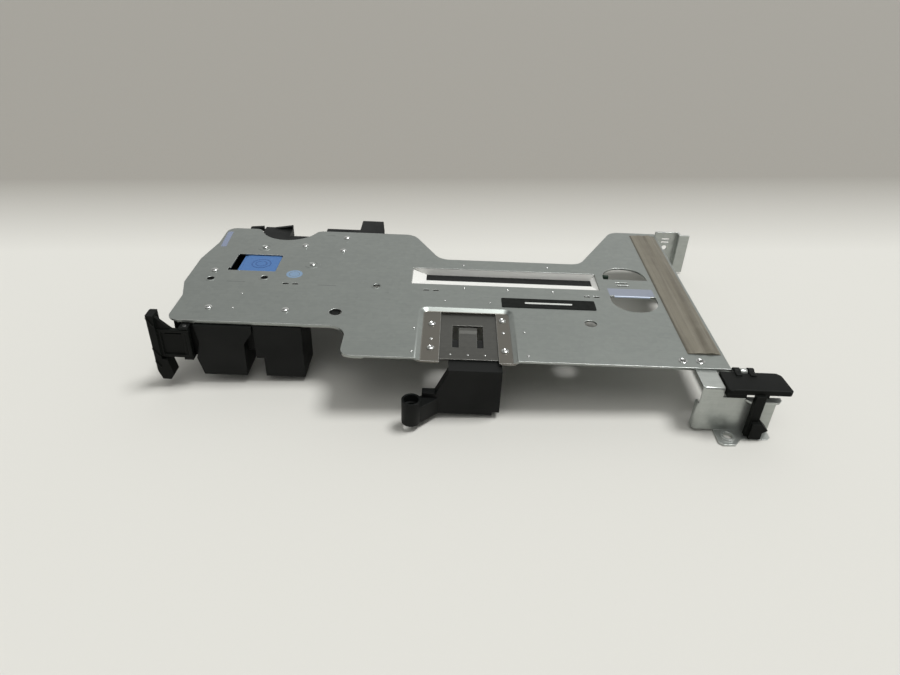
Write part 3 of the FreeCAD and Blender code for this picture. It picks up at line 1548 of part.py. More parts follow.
def make_board_parts():
    """Screws that hold the board to the flap, and the parts on the board's far face."""
    screws = []
    for index, x in enumerate(SCREW_PLACES):
        length = S.plate_thick + S.board_thick
        shank = rod(f"screw_shank_{index}", "Y", (x, S.flap_near, screw_level), length, S.screw_radius)
        head_start = (x, board_far, screw_level)
        head = rod(f"screw_head_{index}", "Y", head_start, S.screw_head_height, S.screw_head_radius)
        screws.append(fuse(f"screw_{index}", shank, head))
    group("board_screws", screws)
    chip = new_body("board_chip")
    chip_x = screw_middle + S.screw_spacing / 2
    half = S.chip_side / 2
    chip_z = plate_under - S.board_gap - S.chip_side
    outline = rectangle(chip_x - half, chip_z - half, chip_x + half, chip_z + half)
    extrude(chip, "package", "Y", board_far, board_far + S.chip_thick, [outline])
    capacitors = []
    for index in range(CAPACITORS):
        item = doc.addObject("Part::Box", f"capacitor_{index}")
        item.setExpression("Length", S.capacitor_side.text)
        item.setExpression("Width", S.capacitor_thick.text)
        item.setExpression("Height", S.capacitor_side.text)
        place(item, screw_middle - S.screw_spacing + S.capacitor_pitch * (index + 1), board_far, chip_z)
        capacitors.append(item)
    group("board_capacitors", capacitors)


def rivet(name, spot, seat, length):
    """Make a rivet whose head sits on a level and whose shank goes down."""
    x, y = spot
    shank = doc.addObject("Part::Prism", f"{name}_shank")
    shank.Polygon = RIVET_SIDES
    shank.setExpression("Circumradius", S.rivet_radius.text)
    shank.setExpression("Height", length.text)
    place(shank, x, y, seat - length)
    rings = []
    rims = [(seat, S.rivet_head_radius), (seat + S.rivet_head_height, S.rivet_crown_radius)]
    for index, (level, radius) in enumerate(rims):
        ring = doc.addObject("Part::RegularPolygon", f"{name}_ring_{index}")
        ring.Polygon = RIVET_SIDES
        ring.setExpression("Circumradius", radius.text)
        place(ring, x, y, level)
        rings.append(ring)
    head = doc.addObject("Part::Loft", f"{name}_head")
    head.Sections = rings
    head.Solid = True
    head.Ruled = True
    return fuse(name, shank, head)


def make_rivets():
    """Rivets through the plate, by what they hold."""
    through_web = S.plate_thick + S.web
    holders = [
        ("plate_rivets", GUIDE_RIVETS + FAR_RIVETS, S.plate_top, through_web),
        ("bracket_rivets", BRACKET_RIVETS, S.plate_top, S.plate_thick + S.sheet),
        ("foot_rivets", TONGUE_RIVETS, sink_floor, S.plate_thick + S.tongue_sheet),
    ]
    for label, spots, seat, length in holders:
        items = [rivet(f"{label}_{index}", spot, seat, length) for index, spot in enumerate(spots)]
        group(label, items)


def make_far_guide():
    """Moulding under the far edge with a tapered tab and a low rail."""
    body = new_body("far_guide")
    right = S.far_left + S.far_width
    edge = S.wing_far + S.far_rail_reach
    pad = rectangle(S.far_left, S.far_near, right, edge)
    extrude(body, "pad", "Z", web_under, plate_under, [pad])
    tab_left = right - S.far_tab_width
    tab = [
        (tab_left, edge),
        (right, edge),
        (right - S.far_tab_taper, S.wing_far + S.far_tab_reach),
        (tab_left, S.wing_far + S.far_tab_reach),
    ]
    extrude(body, "tab", "Z", plate_under - S.far_tab_thick, plate_under, [tab])
    rail = rectangle(S.far_left, S.wing_far, right, edge)
    extrude(body, "rail", "Z", plate_under - S.far_rail_drop, web_under, [rail])
    holes = [(spot, rivet_hole) for spot in FAR_RIVETS]
    extrude(body, "holes", "Z", web_under, plate_under, circles=holes, cut=True)


def check_document():
    """Stop if any object failed or any piece is not a sound solid."""
    doc.recompute()
    for item in doc.Objects:
        if "Invalid" in item.State or "Error" in item.State:
            raise RuntimeError(f"{item.Label} failed: {item.State}")
    for node in NODES:
        if node.Shape.isNull() or not node.Shape.isValid() or not node.Shape.Solids:
            raise RuntimeError(f"{node.Label} is not a sound solid")


def write_parts():
    """Write each piece to its own file."""
    os.makedirs("parts", exist_ok=True)
    for node in NODES:
        node.Shape.exportStep(f"parts/{node.Label}.step")
        print(node.Label, len(node.Shape.Solids), round(node.Shape.Volume, 1))


make_top_plate()
make_foot_bracket()
make_guide_foot()
make_rear_bracket()
make_gasket()
make_label()
make_card_latch()
make_card_guide()
make_end_latch()
make_release_button()
make_button_housing()
make_button_spring()
make_riser_board()
make_slot_connector()
make_board_parts()
make_rivets()
make_far_guide()
check_document()
write_parts()
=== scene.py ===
"""Looks of a server riser card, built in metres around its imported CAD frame."""

import logging
import math
from collections.abc import Callable, Iterable, Sequence
from dataclasses import dataclass, field
from enum import Enum
from typing import ClassVar

import bmesh
import bpy
from mathutils import Matrix, Vector


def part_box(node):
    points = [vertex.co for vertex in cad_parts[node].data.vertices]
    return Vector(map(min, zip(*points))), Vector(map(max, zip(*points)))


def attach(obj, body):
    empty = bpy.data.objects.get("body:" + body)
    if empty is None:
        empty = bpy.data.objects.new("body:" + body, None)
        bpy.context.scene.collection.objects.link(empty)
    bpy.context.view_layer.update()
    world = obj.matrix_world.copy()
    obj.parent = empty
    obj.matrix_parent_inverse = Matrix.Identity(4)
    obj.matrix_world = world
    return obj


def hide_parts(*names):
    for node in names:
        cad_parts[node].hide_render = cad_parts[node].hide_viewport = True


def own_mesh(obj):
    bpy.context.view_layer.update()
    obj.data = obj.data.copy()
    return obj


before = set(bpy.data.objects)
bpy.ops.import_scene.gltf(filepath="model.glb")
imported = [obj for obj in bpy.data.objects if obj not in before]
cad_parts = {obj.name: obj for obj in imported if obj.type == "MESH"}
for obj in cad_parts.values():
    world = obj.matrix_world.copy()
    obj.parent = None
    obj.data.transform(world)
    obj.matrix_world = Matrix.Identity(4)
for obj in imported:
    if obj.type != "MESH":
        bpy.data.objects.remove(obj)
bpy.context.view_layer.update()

LOG = logging.getLogger("riser_card")
MM = 0.001
WELD_GAP = 0.002 * MM

# Angles in degrees
SMOOTH_UNDER = 35.0
EASE_OVER = 40.0

# Lengths in millimetres
SHEET = 1.0
PANEL_STEP = 0.7
PRINT_SINK = 0.02
PRINT_RISE = 0.03

Point = tuple[float, float]
Spots = tuple[Point, ...]
Triple = tuple[float, float, float]
Colour = tuple[float, float, float]
Socket = bpy.types.NodeSocket


class Body(Enum):
    """Rigid bodies that added pieces ride on."""

    FRAME = "frame"
    END_LATCH = "end_latch"
    BUTTON = "release_button"


class Slot(Enum):
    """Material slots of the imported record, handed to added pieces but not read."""

    PLATE = "plate_steel"
    RIVET = "rivet_steel"
    PIN = "pin_steel"
    LATCH = "latch_plastic"
    BLUE = "blue_plastic"
    GASKET = "gasket_fabric"
    LABEL = "label_film"


class RivetStyle(Enum):
    """Forms of rivet head on the sheet metal."""

    DOMED = "domed"
    HOLLOW = "hollow"
    STAKED = "staked"


def linear(colour: Colour) -> tuple[float, float, float, float]:
    """Turn a display colour into Blender's linear colour.

    Args:
        colour: Red, green and blue from 0 to 255.

    Returns:
        Linear red, green, blue and a full alpha.
    """
    parts = []
    for level in colour:
        share = level / 255
        parts.append(share / 12.92 if share <= 0.04045 else ((share + 0.055) / 1.055) ** 2.4)
    return (*parts, 1.0)


class Graph:
    """Short calls that fill a shader node tree."""

    def __init__(self, tree: bpy.types.NodeTree) -> None:
        """Keep the tree to fill."""
        self.tree = tree

    def node(self, kind: str, **settings: object) -> bpy.types.Node:
        """Add a node.

        Args:
            kind: Blender's name of the node type.
            settings: Properties to set on the node.

        Returns:
            The new node.
        """
        made = self.tree.nodes.new(kind)
        for name, value in settings.items():
            setattr(made, name, value)
        return made

    def feed(self, target: Socket, value: Socket | float | Sequence[float]) -> None:
        """Link a socket, or set the constant, that a target takes.

        Args:
            target: The input to feed.
            value: What feeds it.
        """
        if isinstance(value, bpy.types.NodeSocket):
            self.tree.links.new(value, target)
        else:
            target.default_value = value

    def math(self, operation: str, first: Socket | float, second: Socket | float = 0.0) -> Socket:
        """Add a math node.

        Args:
            operation: Name of the sum.
            first: First value.
            second: Second value.

        Returns:
            The result's socket.
        """
        made = self.node("ShaderNodeMath", operation=operation)
        self.feed(made.inputs[0], first)
        self.feed(made.inputs[1], second)
        return made.outputs[0]

    def total(self, first: Socket, *others: Socket | float) -> Socket:
        """Add up several values.

        Args:
            first: First value.
            others: The values to add to it.

        Returns:
            The sum's socket.
        """
        for other in others:
            first = self.math("ADD", first, other)
        return first

    def axes(self, where: Socket) -> tuple[Socket, Socket, Socket]:
        """Split coordinates into their axes.

        Args:
            where: The coordinates.

        Returns:
            Sockets of X, Y and Z.
        """
        split = self.node("ShaderNodeSeparateXYZ")
        self.feed(split.inputs[0], where)
        return tuple(split.outputs)

    def spread(self, value: Socket, low: float, high: float, to_low: float, to_high: float) -> Socket:
        """Map a value from one range to another, held at both ends.

        Args:
            value: The value to map.
            low: Start of its range.
            high: End of its range.
            to_low: Result at the start.
            to_high: Result at the end.

        Returns:
            The mapped value's socket.
        """
        made = self.node("ShaderNodeMapRange", clamp=True)
        for index, part in enumerate((value, low, high, to_low, to_high)):
            self.feed(made.inputs[index], part)
        return made.outputs[0]

    def mix(
        self,
        share: Socket | float,
        first: Socket | Sequence[float],
        second: Socket | Sequence[float],
    ) -> Socket:
        """Mix two colours.

        Args:
            share: Share of the second colour.
            first: First colour.
            second: Second colour.

        Returns:
            The mixed colour's socket.
        """
        made = self.node("ShaderNodeMix", data_type="RGBA")
        self.feed(made.inputs["Factor"], share)
        self.feed(made.inputs[6], first)
        self.feed(made.inputs[7], second)
        return made.outputs[2]

    def place(self, stretch: Sequence[float] = (1.0, 1.0, 1.0)) -> Socket:
        """Give the piece's own coordinates, stretched.

        Args:
            stretch: Factors along the three axes.

        Returns:
            The coordinates' socket.
        """
        where = self.node("ShaderNodeTexCoord")
        mapping = self.node("ShaderNodeMapping")
        mapping.inputs["Scale"].default_value = stretch
        self.feed(mapping.inputs["Vector"], where.outputs["Object"])
        return mapping.outputs["Vector"]

    def noise(self, where: Socket, scale: float | Socket, detail: float = 2.0) -> Socket:
        """Add a noise texture.

        Args:
            where: Coordinates in metres.
            scale: Grains per metre.
            detail: Number of finer layers.

        Returns:
            The noise value's socket.
        """
        made = self.node("ShaderNodeTexNoise")
        self.feed(made.inputs["Vector"], where)
        self.feed(made.inputs["Scale"], scale)
        made.inputs["Detail"].default_value = detail
        return made.outputs["Fac"]


class Effect(Enum):
    """Surface effects that several finishes share."""

    # Edge mask that the finishes lighten, partly as wear and partly as painted highlight
    EDGE_WEAR_AND_HIGHLIGHT = "edge_wear_and_highlight"
    ROLLED_ZINC = "rolled_zinc"
    MOULD_GRAIN = "mould_grain"
    SMUDGE = "smudge"
    WEAVE = "weave"


class EffectGroups:
    """Node groups of the shared effects, each built once."""

    def __init__(self) -> None:
        """Build every group."""
        self.trees: dict[Effect, bpy.types.NodeTree] = {}
        self.make(Effect.EDGE_WEAR_AND_HIGHLIGHT, ["Radius"], ["Mask", "Normal"], self.edge_wear_and_highlight)
        self.make(Effect.ROLLED_ZINC, ["Grain"], ["Tone", "Gloss", "Height"], self.rolled_zinc)
        self.make(Effect.MOULD_GRAIN, ["Grain"], ["Tone", "Height"], self.mould_grain)
        self.make(Effect.SMUDGE, ["Grain"], ["Mask"], self.smudge)
        self.make(Effect.WEAVE, ["Threads"], ["Tone", "Height"], self.weave)

    def make(
        self,
        effect: Effect,
        inputs: Iterable[str],
        outputs: Iterable[str],
        build: Callable[[Graph, bpy.types.Node, bpy.types.Node], None],
    ) -> None:
        """Make one group with its sockets.

        Args:
            effect: Which effect it is.
            inputs: Names of its inputs.
            outputs: Names of its outputs.
            build: Fills the group between its input and output nodes.
        """
        tree = bpy.data.node_groups.new(effect.value, "ShaderNodeTree")
        for name in inputs:
            tree.interface.new_socket(name, in_out="INPUT", socket_type="NodeSocketFloat")
        for name in outputs:
            kind = "NodeSocketVector" if name == "Normal" else "NodeSocketFloat"
            tree.interface.new_socket(name, in_out="OUTPUT", socket_type=kind)
        graph = Graph(tree)
        build(graph, graph.node("NodeGroupInput"), graph.node("NodeGroupOutput"))
        self.trees[effect] = tree

    def edge_wear_and_highlight(self, graph: Graph, start: bpy.types.Node, end: bpy.types.Node) -> None:
        """Mask of the edges, broken up by noise, and a normal that rounds them; the finishes lighten these
        edges, partly as wear and partly as painted highlight.

        Args:
            graph: The group's graph.
            start: Node of the group's inputs.
            end: Node of the group's outputs.
        """
        bevel = graph.node("ShaderNodeBevel", samples=6)
        graph.feed(bevel.inputs["Radius"], start.outputs["Radius"])
        surface = graph.node("ShaderNodeNewGeometry")
        turn = graph.node("ShaderNodeVectorMath", operation="DOT_PRODUCT")
        graph.feed(turn.inputs[0], bevel.outputs["Normal"])
        graph.feed(turn.inputs[1], surface.outputs["Normal"])
        edge = graph.spread(turn.outputs["Value"], 0.99, 0.80, 0.0, 1.0)
        broken = graph.spread(graph.noise(graph.place(), 260.0, 3.0), 0.3, 0.62, 0.35, 1.0)
        graph.feed(end.inputs["Mask"], graph.math("MULTIPLY", edge, broken))
        graph.feed(end.inputs["Normal"], bevel.outputs["Normal"])

    def rolled_zinc(self, graph: Graph, start: bpy.types.Node, end: bpy.types.Node) -> None:
        """Zinc crystals, rolling streaks and a fine tooth.

        Args:
            graph: The group's graph.
            start: Node of the group's inputs.
            end: Node of the group's outputs.
        """
        cells = graph.node("ShaderNodeTexVoronoi", feature="F1")
        graph.feed(cells.inputs["Vector"], graph.place())
        graph.feed(cells.inputs["Scale"], start.outputs["Grain"])
        shade = graph.node("ShaderNodeSeparateColor")
        graph.feed(shade.inputs[0], cells.outputs["Color"])
        streaks = graph.noise(graph.place((60.0, 1500.0, 1500.0)), 1.0, 3.0)
        clouds = graph.noise(graph.place(), 38.0, 3.0)
        crystal = graph.spread(shade.outputs[0], 0.0, 1.0, -0.16, 0.16)
        streak = graph.spread(streaks, 0.3, 0.7, -0.18, 0.18)
        cloud = graph.spread(clouds, 0.3, 0.7, -0.12, 0.12)
        graph.feed(end.inputs["Tone"], graph.total(crystal, streak, cloud, 0.5))
        gloss = graph.math("MULTIPLY", crystal, -1.0)
        graph.feed(end.inputs["Gloss"], graph.total(gloss, cloud, 0.5))
        tooth = graph.noise(graph.place(), 2600.0, 2.0)
        graph.feed(end.inputs["Height"], graph.math("ADD", tooth, graph.math("MULTIPLY", streaks, 0.6)))

    def mould_grain(self, graph: Graph, start: bpy.types.Node, end: bpy.types.Node) -> None:
        """Sparked mould texture.

        Args:
            graph: The group's graph.
            start: Node of the group's inputs.
            end: Node of the group's outputs.
        """
        fine = graph.noise(graph.place(), start.outputs["Grain"], 2.0)
        broad = graph.noise(graph.place(), 90.0, 2.0)
        tone = graph.math("ADD", graph.math("MULTIPLY", fine, 0.4), graph.math("MULTIPLY", broad, 0.6))
        graph.feed(end.inputs["Tone"], tone)
        graph.feed(end.inputs["Height"], fine)

    def smudge(self, graph: Graph, start: bpy.types.Node, end: bpy.types.Node) -> None:
        """Mask of handled, slightly dulled patches."""
        patches = graph.noise(graph.place(), start.outputs["Grain"], 4.0)
        graph.feed(end.inputs["Mask"], graph.spread(patches, 0.42, 0.68, 0.0, 1.0))

    def weave(self, graph: Graph, start: bpy.types.Node, end: bpy.types.Node) -> None:
        """Plain weave of fine threads with long rubbed streaks.

        Args:
            graph: The group's graph.
            start: Node of the group's inputs.
            end: Node of the group's outputs.
        """
        waves = []
        for axis in graph.axes(graph.place())[:2]:
            turns = graph.math("MULTIPLY", axis, start.outputs["Threads"])
            waves.append(graph.math("SINE", graph.math("MULTIPLY", turns, math.tau)))
        cross = graph.math("MULTIPLY", waves[0], waves[1])
        height = graph.math("ADD", graph.math("MULTIPLY", cross, 0.5), 0.5)
        streaks = graph.noise(graph.place((420.0, 9.0, 420.0)), 1.0, 3.0)
        rubbed = graph.spread(streaks, 0.32, 0.66, 0.0, 1.0)
        graph.feed(end.inputs["Height"], height)
        tone = graph.math("ADD", graph.math("MULTIPLY", height, 0.12), graph.math("MULTIPLY", rubbed, 0.88))
        graph.feed(end.inputs["Tone"], tone)


EFFECTS = EffectGroups()


class Finish:
    """A procedural material; its kinds fill in how the surface varies."""

    name: str

    def build(self) -> bpy.types.Material:
        """Make the material.

        Returns:
            The new material.
        """
        material = bpy.data.materials.new(self.name)
        material.use_nodes = True
        material.node_tree.nodes.clear()
        graph = Graph(material.node_tree)
        shader = graph.node("ShaderNodeBsdfPrincipled")
        output = graph.node("ShaderNodeOutputMaterial")
        graph.feed(output.inputs["Surface"], shader.outputs[0])
        self.fill(graph, shader)
        return material

    def fill(self, graph: Graph, shader: bpy.types.Node) -> None:
        """Set what the shader takes; each kind of finish has its own way."""
        raise NotImplementedError

    def effect(self, graph: Graph, effect: Effect, **values: float) -> bpy.types.Node:
        """Place a shared effect with its own values.

        Args:
            graph: Where it goes.
            effect: Which effect it is.
            values: Values of its inputs, by name in lower case.

        Returns:
            The group's node.
        """
        made = graph.node("ShaderNodeGroup", node_tree=EFFECTS.trees[effect])
        for name, value in values.items():
            made.inputs[name.capitalize()].default_value = value
        return made

    def emboss(
        self,
        graph: Graph,
        shader: bpy.types.Node,
        height: Socket,
        depth: float,
        strength: float,
        rounded: Socket | None = None,
    ) -> None:
        """Raise the surface by a height.

        Args:
            graph: Where the bump goes.
            shader: The surface shader.
            height: Height from 0 to 1.
            depth: Depth in metres.
            strength: Share of the bump that shows.
            rounded: Normal of the rounded edges that the bump starts from.
        """
        bump = graph.node("ShaderNodeBump")
        bump.inputs["Strength"].default_value = strength
        bump.inputs["Distance"].default_value = depth
        graph.feed(bump.inputs["Height"], height)
        if rounded is not None:
            graph.feed(bump.inputs["Normal"], rounded)
        graph.feed(shader.inputs["Normal"], bump.outputs["Normal"])


@dataclass(frozen=True)
class SheetMetal(Finish):
    """Rolled and zinc-plated sheet."""

    name: str
    dark: Colour
    light: Colour
    # Edge colour: partly worn metal, partly painted highlight
    edge: Colour
    roughness: float = 0.36
    metallic: float = 1.0
    crystals: float = 420.0
    edge_radius: float = 0.5 * MM
    tooth: float = 0.02 * MM

    def tint(self, graph: Graph, body: Socket) -> Socket:
        """Leave the colour as it is; a special sheet changes it by place."""
        return body

    def fill(self, graph: Graph, shader: bpy.types.Node) -> None:
        """Grain the sheet with zinc and brighten its edges, partly as worn metal and partly as painted
        highlight.

        Args:
            graph: The material's graph.
            shader: Its surface shader.
        """
        zinc = self.effect(graph, Effect.ROLLED_ZINC, grain=self.crystals)
        wear_and_highlight = self.effect(graph, Effect.EDGE_WEAR_AND_HIGHLIGHT, radius=self.edge_radius)
        body = self.tint(graph, graph.mix(zinc.outputs["Tone"], linear(self.dark), linear(self.light)))
        # Painted highlight and wear: the masked edges take the lighter edge colour
        graph.feed(shader.inputs["Base Color"], graph.mix(wear_and_highlight.outputs["Mask"], body, linear(self.edge)))
        rough = graph.spread(zinc.outputs["Gloss"], 0.2, 0.8, self.roughness - 0.03, self.roughness + 0.04)
        graph.feed(shader.inputs["Roughness"], rough)
        shader.inputs["Metallic"].default_value = self.metallic
        self.emboss(graph, shader, zinc.outputs["Height"], self.tooth, 0.08, wear_and_highlight.outputs["Normal"])


@dataclass(frozen=True)
class PlateSheet(SheetMetal):
    """Plate sheet whose pressed-down strips are duller and browner."""

    sunk: Colour = (120, 117, 110)
    sunk_under: float = 27.5 * MM
    sunk_near: float = 58.0 * MM
    sunk_step: float = 0.2 * MM
    sunk_fade: float = 1.0 * MM

    def tint(self, graph: Graph, body: Socket) -> Socket:
        """Mix in the sunk colour below the plate's level and near its front.

        Args:
            graph: The material's graph.
            body: Colour of the level plate.

        Returns:
            The mixed colour's socket.
        """
        _, y, z = graph.axes(graph.place())
        low = graph.spread(z, self.sunk_under, self.sunk_under - self.sunk_step, 0.0, 1.0)
        near = graph.spread(y, self.sunk_near, self.sunk_near - self.sunk_fade, 0.0, 1.0)
        return graph.mix(graph.math("MULTIPLY", low, near), body, linear(self.sunk))


@dataclass(frozen=True)
class MouldedPlastic(Finish):
    """Moulded plastic with a fine grain and lighter edges, partly rubbed and partly painted highlight."""

    name: str
    dark: Colour
    light: Colour
    # Edge colour: partly rubbed plastic, partly painted highlight
    edge: Colour
    roughness: float = 0.5
    specular: float = 0.2
    grain: float = 3200.0
    edge_radius: float = 0.35 * MM
    patches: float = 55.0
    tooth: float = 0.03 * MM

    def fill(self, graph: Graph, shader: bpy.types.Node) -> None:
        """Grain the plastic and lighten its edges, partly as rubbing and partly as painted highlight.

        Args:
            graph: The material's graph.
            shader: Its surface shader.
        """
        grain = self.effect(graph, Effect.MOULD_GRAIN, grain=self.grain)
        wear_and_highlight = self.effect(graph, Effect.EDGE_WEAR_AND_HIGHLIGHT, radius=self.edge_radius)
        smudge = self.effect(graph, Effect.SMUDGE, grain=self.patches)
        body = graph.mix(grain.outputs["Tone"], linear(self.dark), linear(self.light))
        # Painted highlight and wear: the masked edges take the lighter edge colour
        graph.feed(shader.inputs["Base Color"], graph.mix(wear_and_highlight.outputs["Mask"], body, linear(self.edge)))
        rough = graph.spread(smudge.outputs["Mask"], 0.0, 1.0, self.roughness, self.roughness + 0.12)
        graph.feed(shader.inputs["Roughness"], rough)
        shader.inputs["Specular IOR Level"].default_value = self.specular
        self.emboss(graph, shader, grain.outputs["Height"], self.tooth, 0.3, wear_and_highlight.outputs["Normal"])


@dataclass(frozen=True)
class ConductiveCloth(Finish):
    """Metallised cloth over foam."""

    name: str
    dark: Colour
    light: Colour
    threads: float = 1700.0
    patches: float = 120.0
    tooth: float = 0.06 * MM

    def fill(self, graph: Graph, shader: bpy.types.Node) -> None:
        """Weave the cloth and rub it.

        Args:
            graph: The material's graph.
            shader: Its surface shader.
        """
        weave = self.effect(graph, Effect.WEAVE, threads=self.threads)
        smudge = self.effect(graph, Effect.SMUDGE, grain=self.patches)
        body = graph.mix(weave.outputs["Tone"], linear(self.dark), linear(self.light))
        rubbed = graph.math("MULTIPLY", smudge.outputs["Mask"], 0.35)
        graph.feed(shader.inputs["Base Color"], graph.mix(rubbed, body, linear(self.light)))
        graph.feed(shader.inputs["Roughness"], graph.spread(weave.outputs["Tone"], 0.2, 0.8, 0.78, 0.6))
        shader.inputs["Metallic"].default_value = 0.2
        shader.inputs["Sheen Weight"].default_value = 0.15
        self.emboss(graph, shader, weave.outputs["Height"], self.tooth, 0.5)


@dataclass(frozen=True)
class PrintedFilm(Finish):
    """Ink or film on a smooth face, with slight mottling."""

    name: str
    dark: Colour
    light: Colour
    roughness: float = 0.5
    specular: float = 0.2
    grain: float = 2400.0
    patches: float = 300.0
    tooth: float = 0.01 * MM

    def fill(self, graph: Graph, shader: bpy.types.Node) -> None:
        """Mottle the ink or film.

        Args:
            graph: The material's graph.
            shader: Its surface shader.
        """
        shader.inputs["Specular IOR Level"].default_value = self.specular
        smudge = self.effect(graph, Effect.SMUDGE, grain=self.patches)
        grain = self.effect(graph, Effect.MOULD_GRAIN, grain=self.grain)
        body = graph.mix(grain.outputs["Tone"], linear(self.dark), linear(self.light))
        graph.feed(shader.inputs["Base Color"], body)
        rough = graph.spread(smudge.outputs["Mask"], 0.0, 1.0, self.roughness, self.roughness + 0.15)
        graph.feed(shader.inputs["Roughness"], rough)
        self.emboss(graph, shader, grain.outputs["Height"], self.tooth, 0.3)


@dataclass(frozen=True)
class CircuitBoard(Finish):
    """Solder mask over fine copper tracks."""

    name: str
    mask: Colour
    track: Colour
    tracks: float = 420.0
    patches: float = 80.0
    tooth: float = 0.03 * MM

    def fill(self, graph: Graph, shader: bpy.types.Node) -> None:
        """Run tracks under the mask.

        Args:
            graph: The material's graph.
            shader: Its surface shader.
        """
        tracks = graph.node("ShaderNodeTexBrick", offset=0.5, squash=1.0)
        graph.feed(tracks.inputs["Vector"], graph.place())
        tracks.inputs["Scale"].default_value = self.tracks
        tracks.inputs["Mortar Size"].default_value = 0.06
        tracks.inputs["Color1"].default_value = linear(self.mask)
        tracks.inputs["Color2"].default_value = linear(self.mask)
        tracks.inputs["Mortar"].default_value = linear(self.track)
        smudge = self.effect(graph, Effect.SMUDGE, grain=self.patches)
        graph.feed(shader.inputs["Base Color"], tracks.outputs["Color"])
        graph.feed(shader.inputs["Roughness"], graph.spread(smudge.outputs["Mask"], 0.0, 1.0, 0.28, 0.42))
        self.emboss(graph, shader, tracks.outputs["Fac"], self.tooth, 0.4)


@dataclass(frozen=True)
class StageFloor(Finish):
    """Pale floor that grows darker behind the part and hides nothing from below."""

    name: str
    near: Colour
    far: Colour
    turn_from: float
    turn_to: float

    def fill(self, graph: Graph, shader: bpy.types.Node) -> None:
        """Shade the floor from near to far.

        Args:
            graph: The material's graph.
            shader: Its surface shader.
        """
        share = graph.spread(graph.axes(graph.place())[1], self.turn_from, self.turn_to, 0.0, 1.0)
        graph.feed(shader.inputs["Base Color"], graph.mix(share, linear(self.near), linear(self.far)))
        paper = graph.noise(graph.place(), 700.0, 3.0)
        graph.feed(shader.inputs["Roughness"], graph.spread(paper, 0.3, 0.7, 0.8, 0.95))
        facing = graph.node("ShaderNodeNewGeometry")
        graph.feed(shader.inputs["Alpha"], graph.math("SUBTRACT", 1.0, facing.outputs["Backfacing"]))


class Palette:
    """Every finish of the part, built once and found by name."""

    # The third colour of each sheet and moulded plastic is its edge colour: partly wear, partly painted
    # highlight
    FINISHES: ClassVar[tuple[Finish, ...]] = (
        PlateSheet("plate_zinc", (145, 150, 147), (159, 164, 160), (228, 230, 227)),
        PlateSheet("pressed_zinc", (145, 150, 147), (159, 164, 160), (159, 164, 160), edge_radius=0.02 * MM),
        SheetMetal(
            "bracket_zinc", (168, 172, 168), (186, 190, 186), (222, 224, 221), roughness=0.3, metallic=0.7
        ),
        SheetMetal("tongue_zinc", (90, 90, 87), (103, 103, 99), (172, 172, 168), roughness=0.38),
        SheetMetal(
            "rivet_zinc",
            (186, 188, 186),
            (210, 211, 209),
            (232, 232, 230),
            roughness=0.16,
            edge_radius=0.1 * MM,
        ),
        SheetMetal("pin_polish", (84, 85, 84), (100, 101, 100), (140, 140, 138), roughness=0.5),
        SheetMetal("contact_gold", (196, 150, 66), (224, 180, 92), (240, 204, 128), roughness=0.25),
        MouldedPlastic("moulding_black", (8, 10, 9), (14, 16, 15), (36, 40, 39)),
        MouldedPlastic(
            "latch_black", (10, 12, 10), (16, 18, 16), (48, 52, 48), roughness=0.46, specular=0.12
        ),
        MouldedPlastic("connector_black", (20, 21, 21), (30, 31, 31), (48, 50, 50), roughness=0.55),
        MouldedPlastic("button_blue", (68, 105, 156), (80, 117, 168), (110, 144, 192)),
        MouldedPlastic("button_line", (58, 90, 142), (68, 100, 152), (90, 122, 172)),
        MouldedPlastic("ceramic_tan", (146, 122, 92), (172, 146, 112), (190, 168, 136)),
        MouldedPlastic("package_black", (17, 18, 19), (27, 28, 30), (40, 42, 44), roughness=0.6),
        ConductiveCloth("gasket_cloth", (92, 87, 75), (122, 117, 103)),
        PrintedFilm("label_black", (12, 14, 12), (19, 22, 19), roughness=0.6, specular=0.12),
        PrintedFilm("label_mark", (188, 190, 186), (216, 218, 214)),
        PrintedFilm("slot_film", (222, 222, 218), (234, 234, 230), roughness=0.55),
        PrintedFilm("ink_blue", (112, 136, 162), (126, 150, 174)),
        PrintedFilm("ink_grey", (96, 99, 97), (116, 119, 117)),
        PrintedFilm("grip_tint", (130, 136, 148), (142, 148, 160), roughness=0.4),
        PrintedFilm("edge_tint", (118, 126, 148), (130, 140, 160), roughness=0.4),
        PrintedFilm("grip_edge", (196, 212, 236), (212, 226, 246), roughness=0.3, specular=0.6),
        CircuitBoard("board_mask", (16, 34, 26), (28, 52, 40)),
    )

    def __init__(self) -> None:
        """Build every material."""
        self.materials = {finish.name: finish.build() for finish in self.FINISHES}

    def __getitem__(self, name: str) -> bpy.types.Material:
        """Find a material by its finish's name."""
        return self.materials[name]


PALETTE = Palette()


def box_mm(node: str) -> tuple[Vector, Vector]:
    """Give a node's lowest and highest corner in millimetres."""
    low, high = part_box(node)
    return low / MM, high / MM


def new_object(name: str, data: bpy.types.ID) -> bpy.types.Object:
    """Make an object and link it to the scene.

    Args:
        name: The object's name.
        data: Its mesh, light or camera.

    Returns:
        The new object.
    """
    made = bpy.data.objects.new(name, data)
    bpy.context.scene.collection.objects.link(made)
    return made


def ease_edges(item: bpy.types.Object, width: float, over: float) -> bpy.types.BevelModifier:
    """Ease an object's sharp edges by a modifier.

    Args:
        item: The object.
        width: Width of the eased edges in millimetres.
        over: Angle in degrees over which an edge is eased.

    Returns:
        The modifier.
    """
    bevel = item.modifiers.new("eased_edges", "BEVEL")
    bevel.width = width * MM
    bevel.segments = 2
    bevel.limit_method = "ANGLE"
    bevel.angle_limit = math.radians(over)
    return bevel


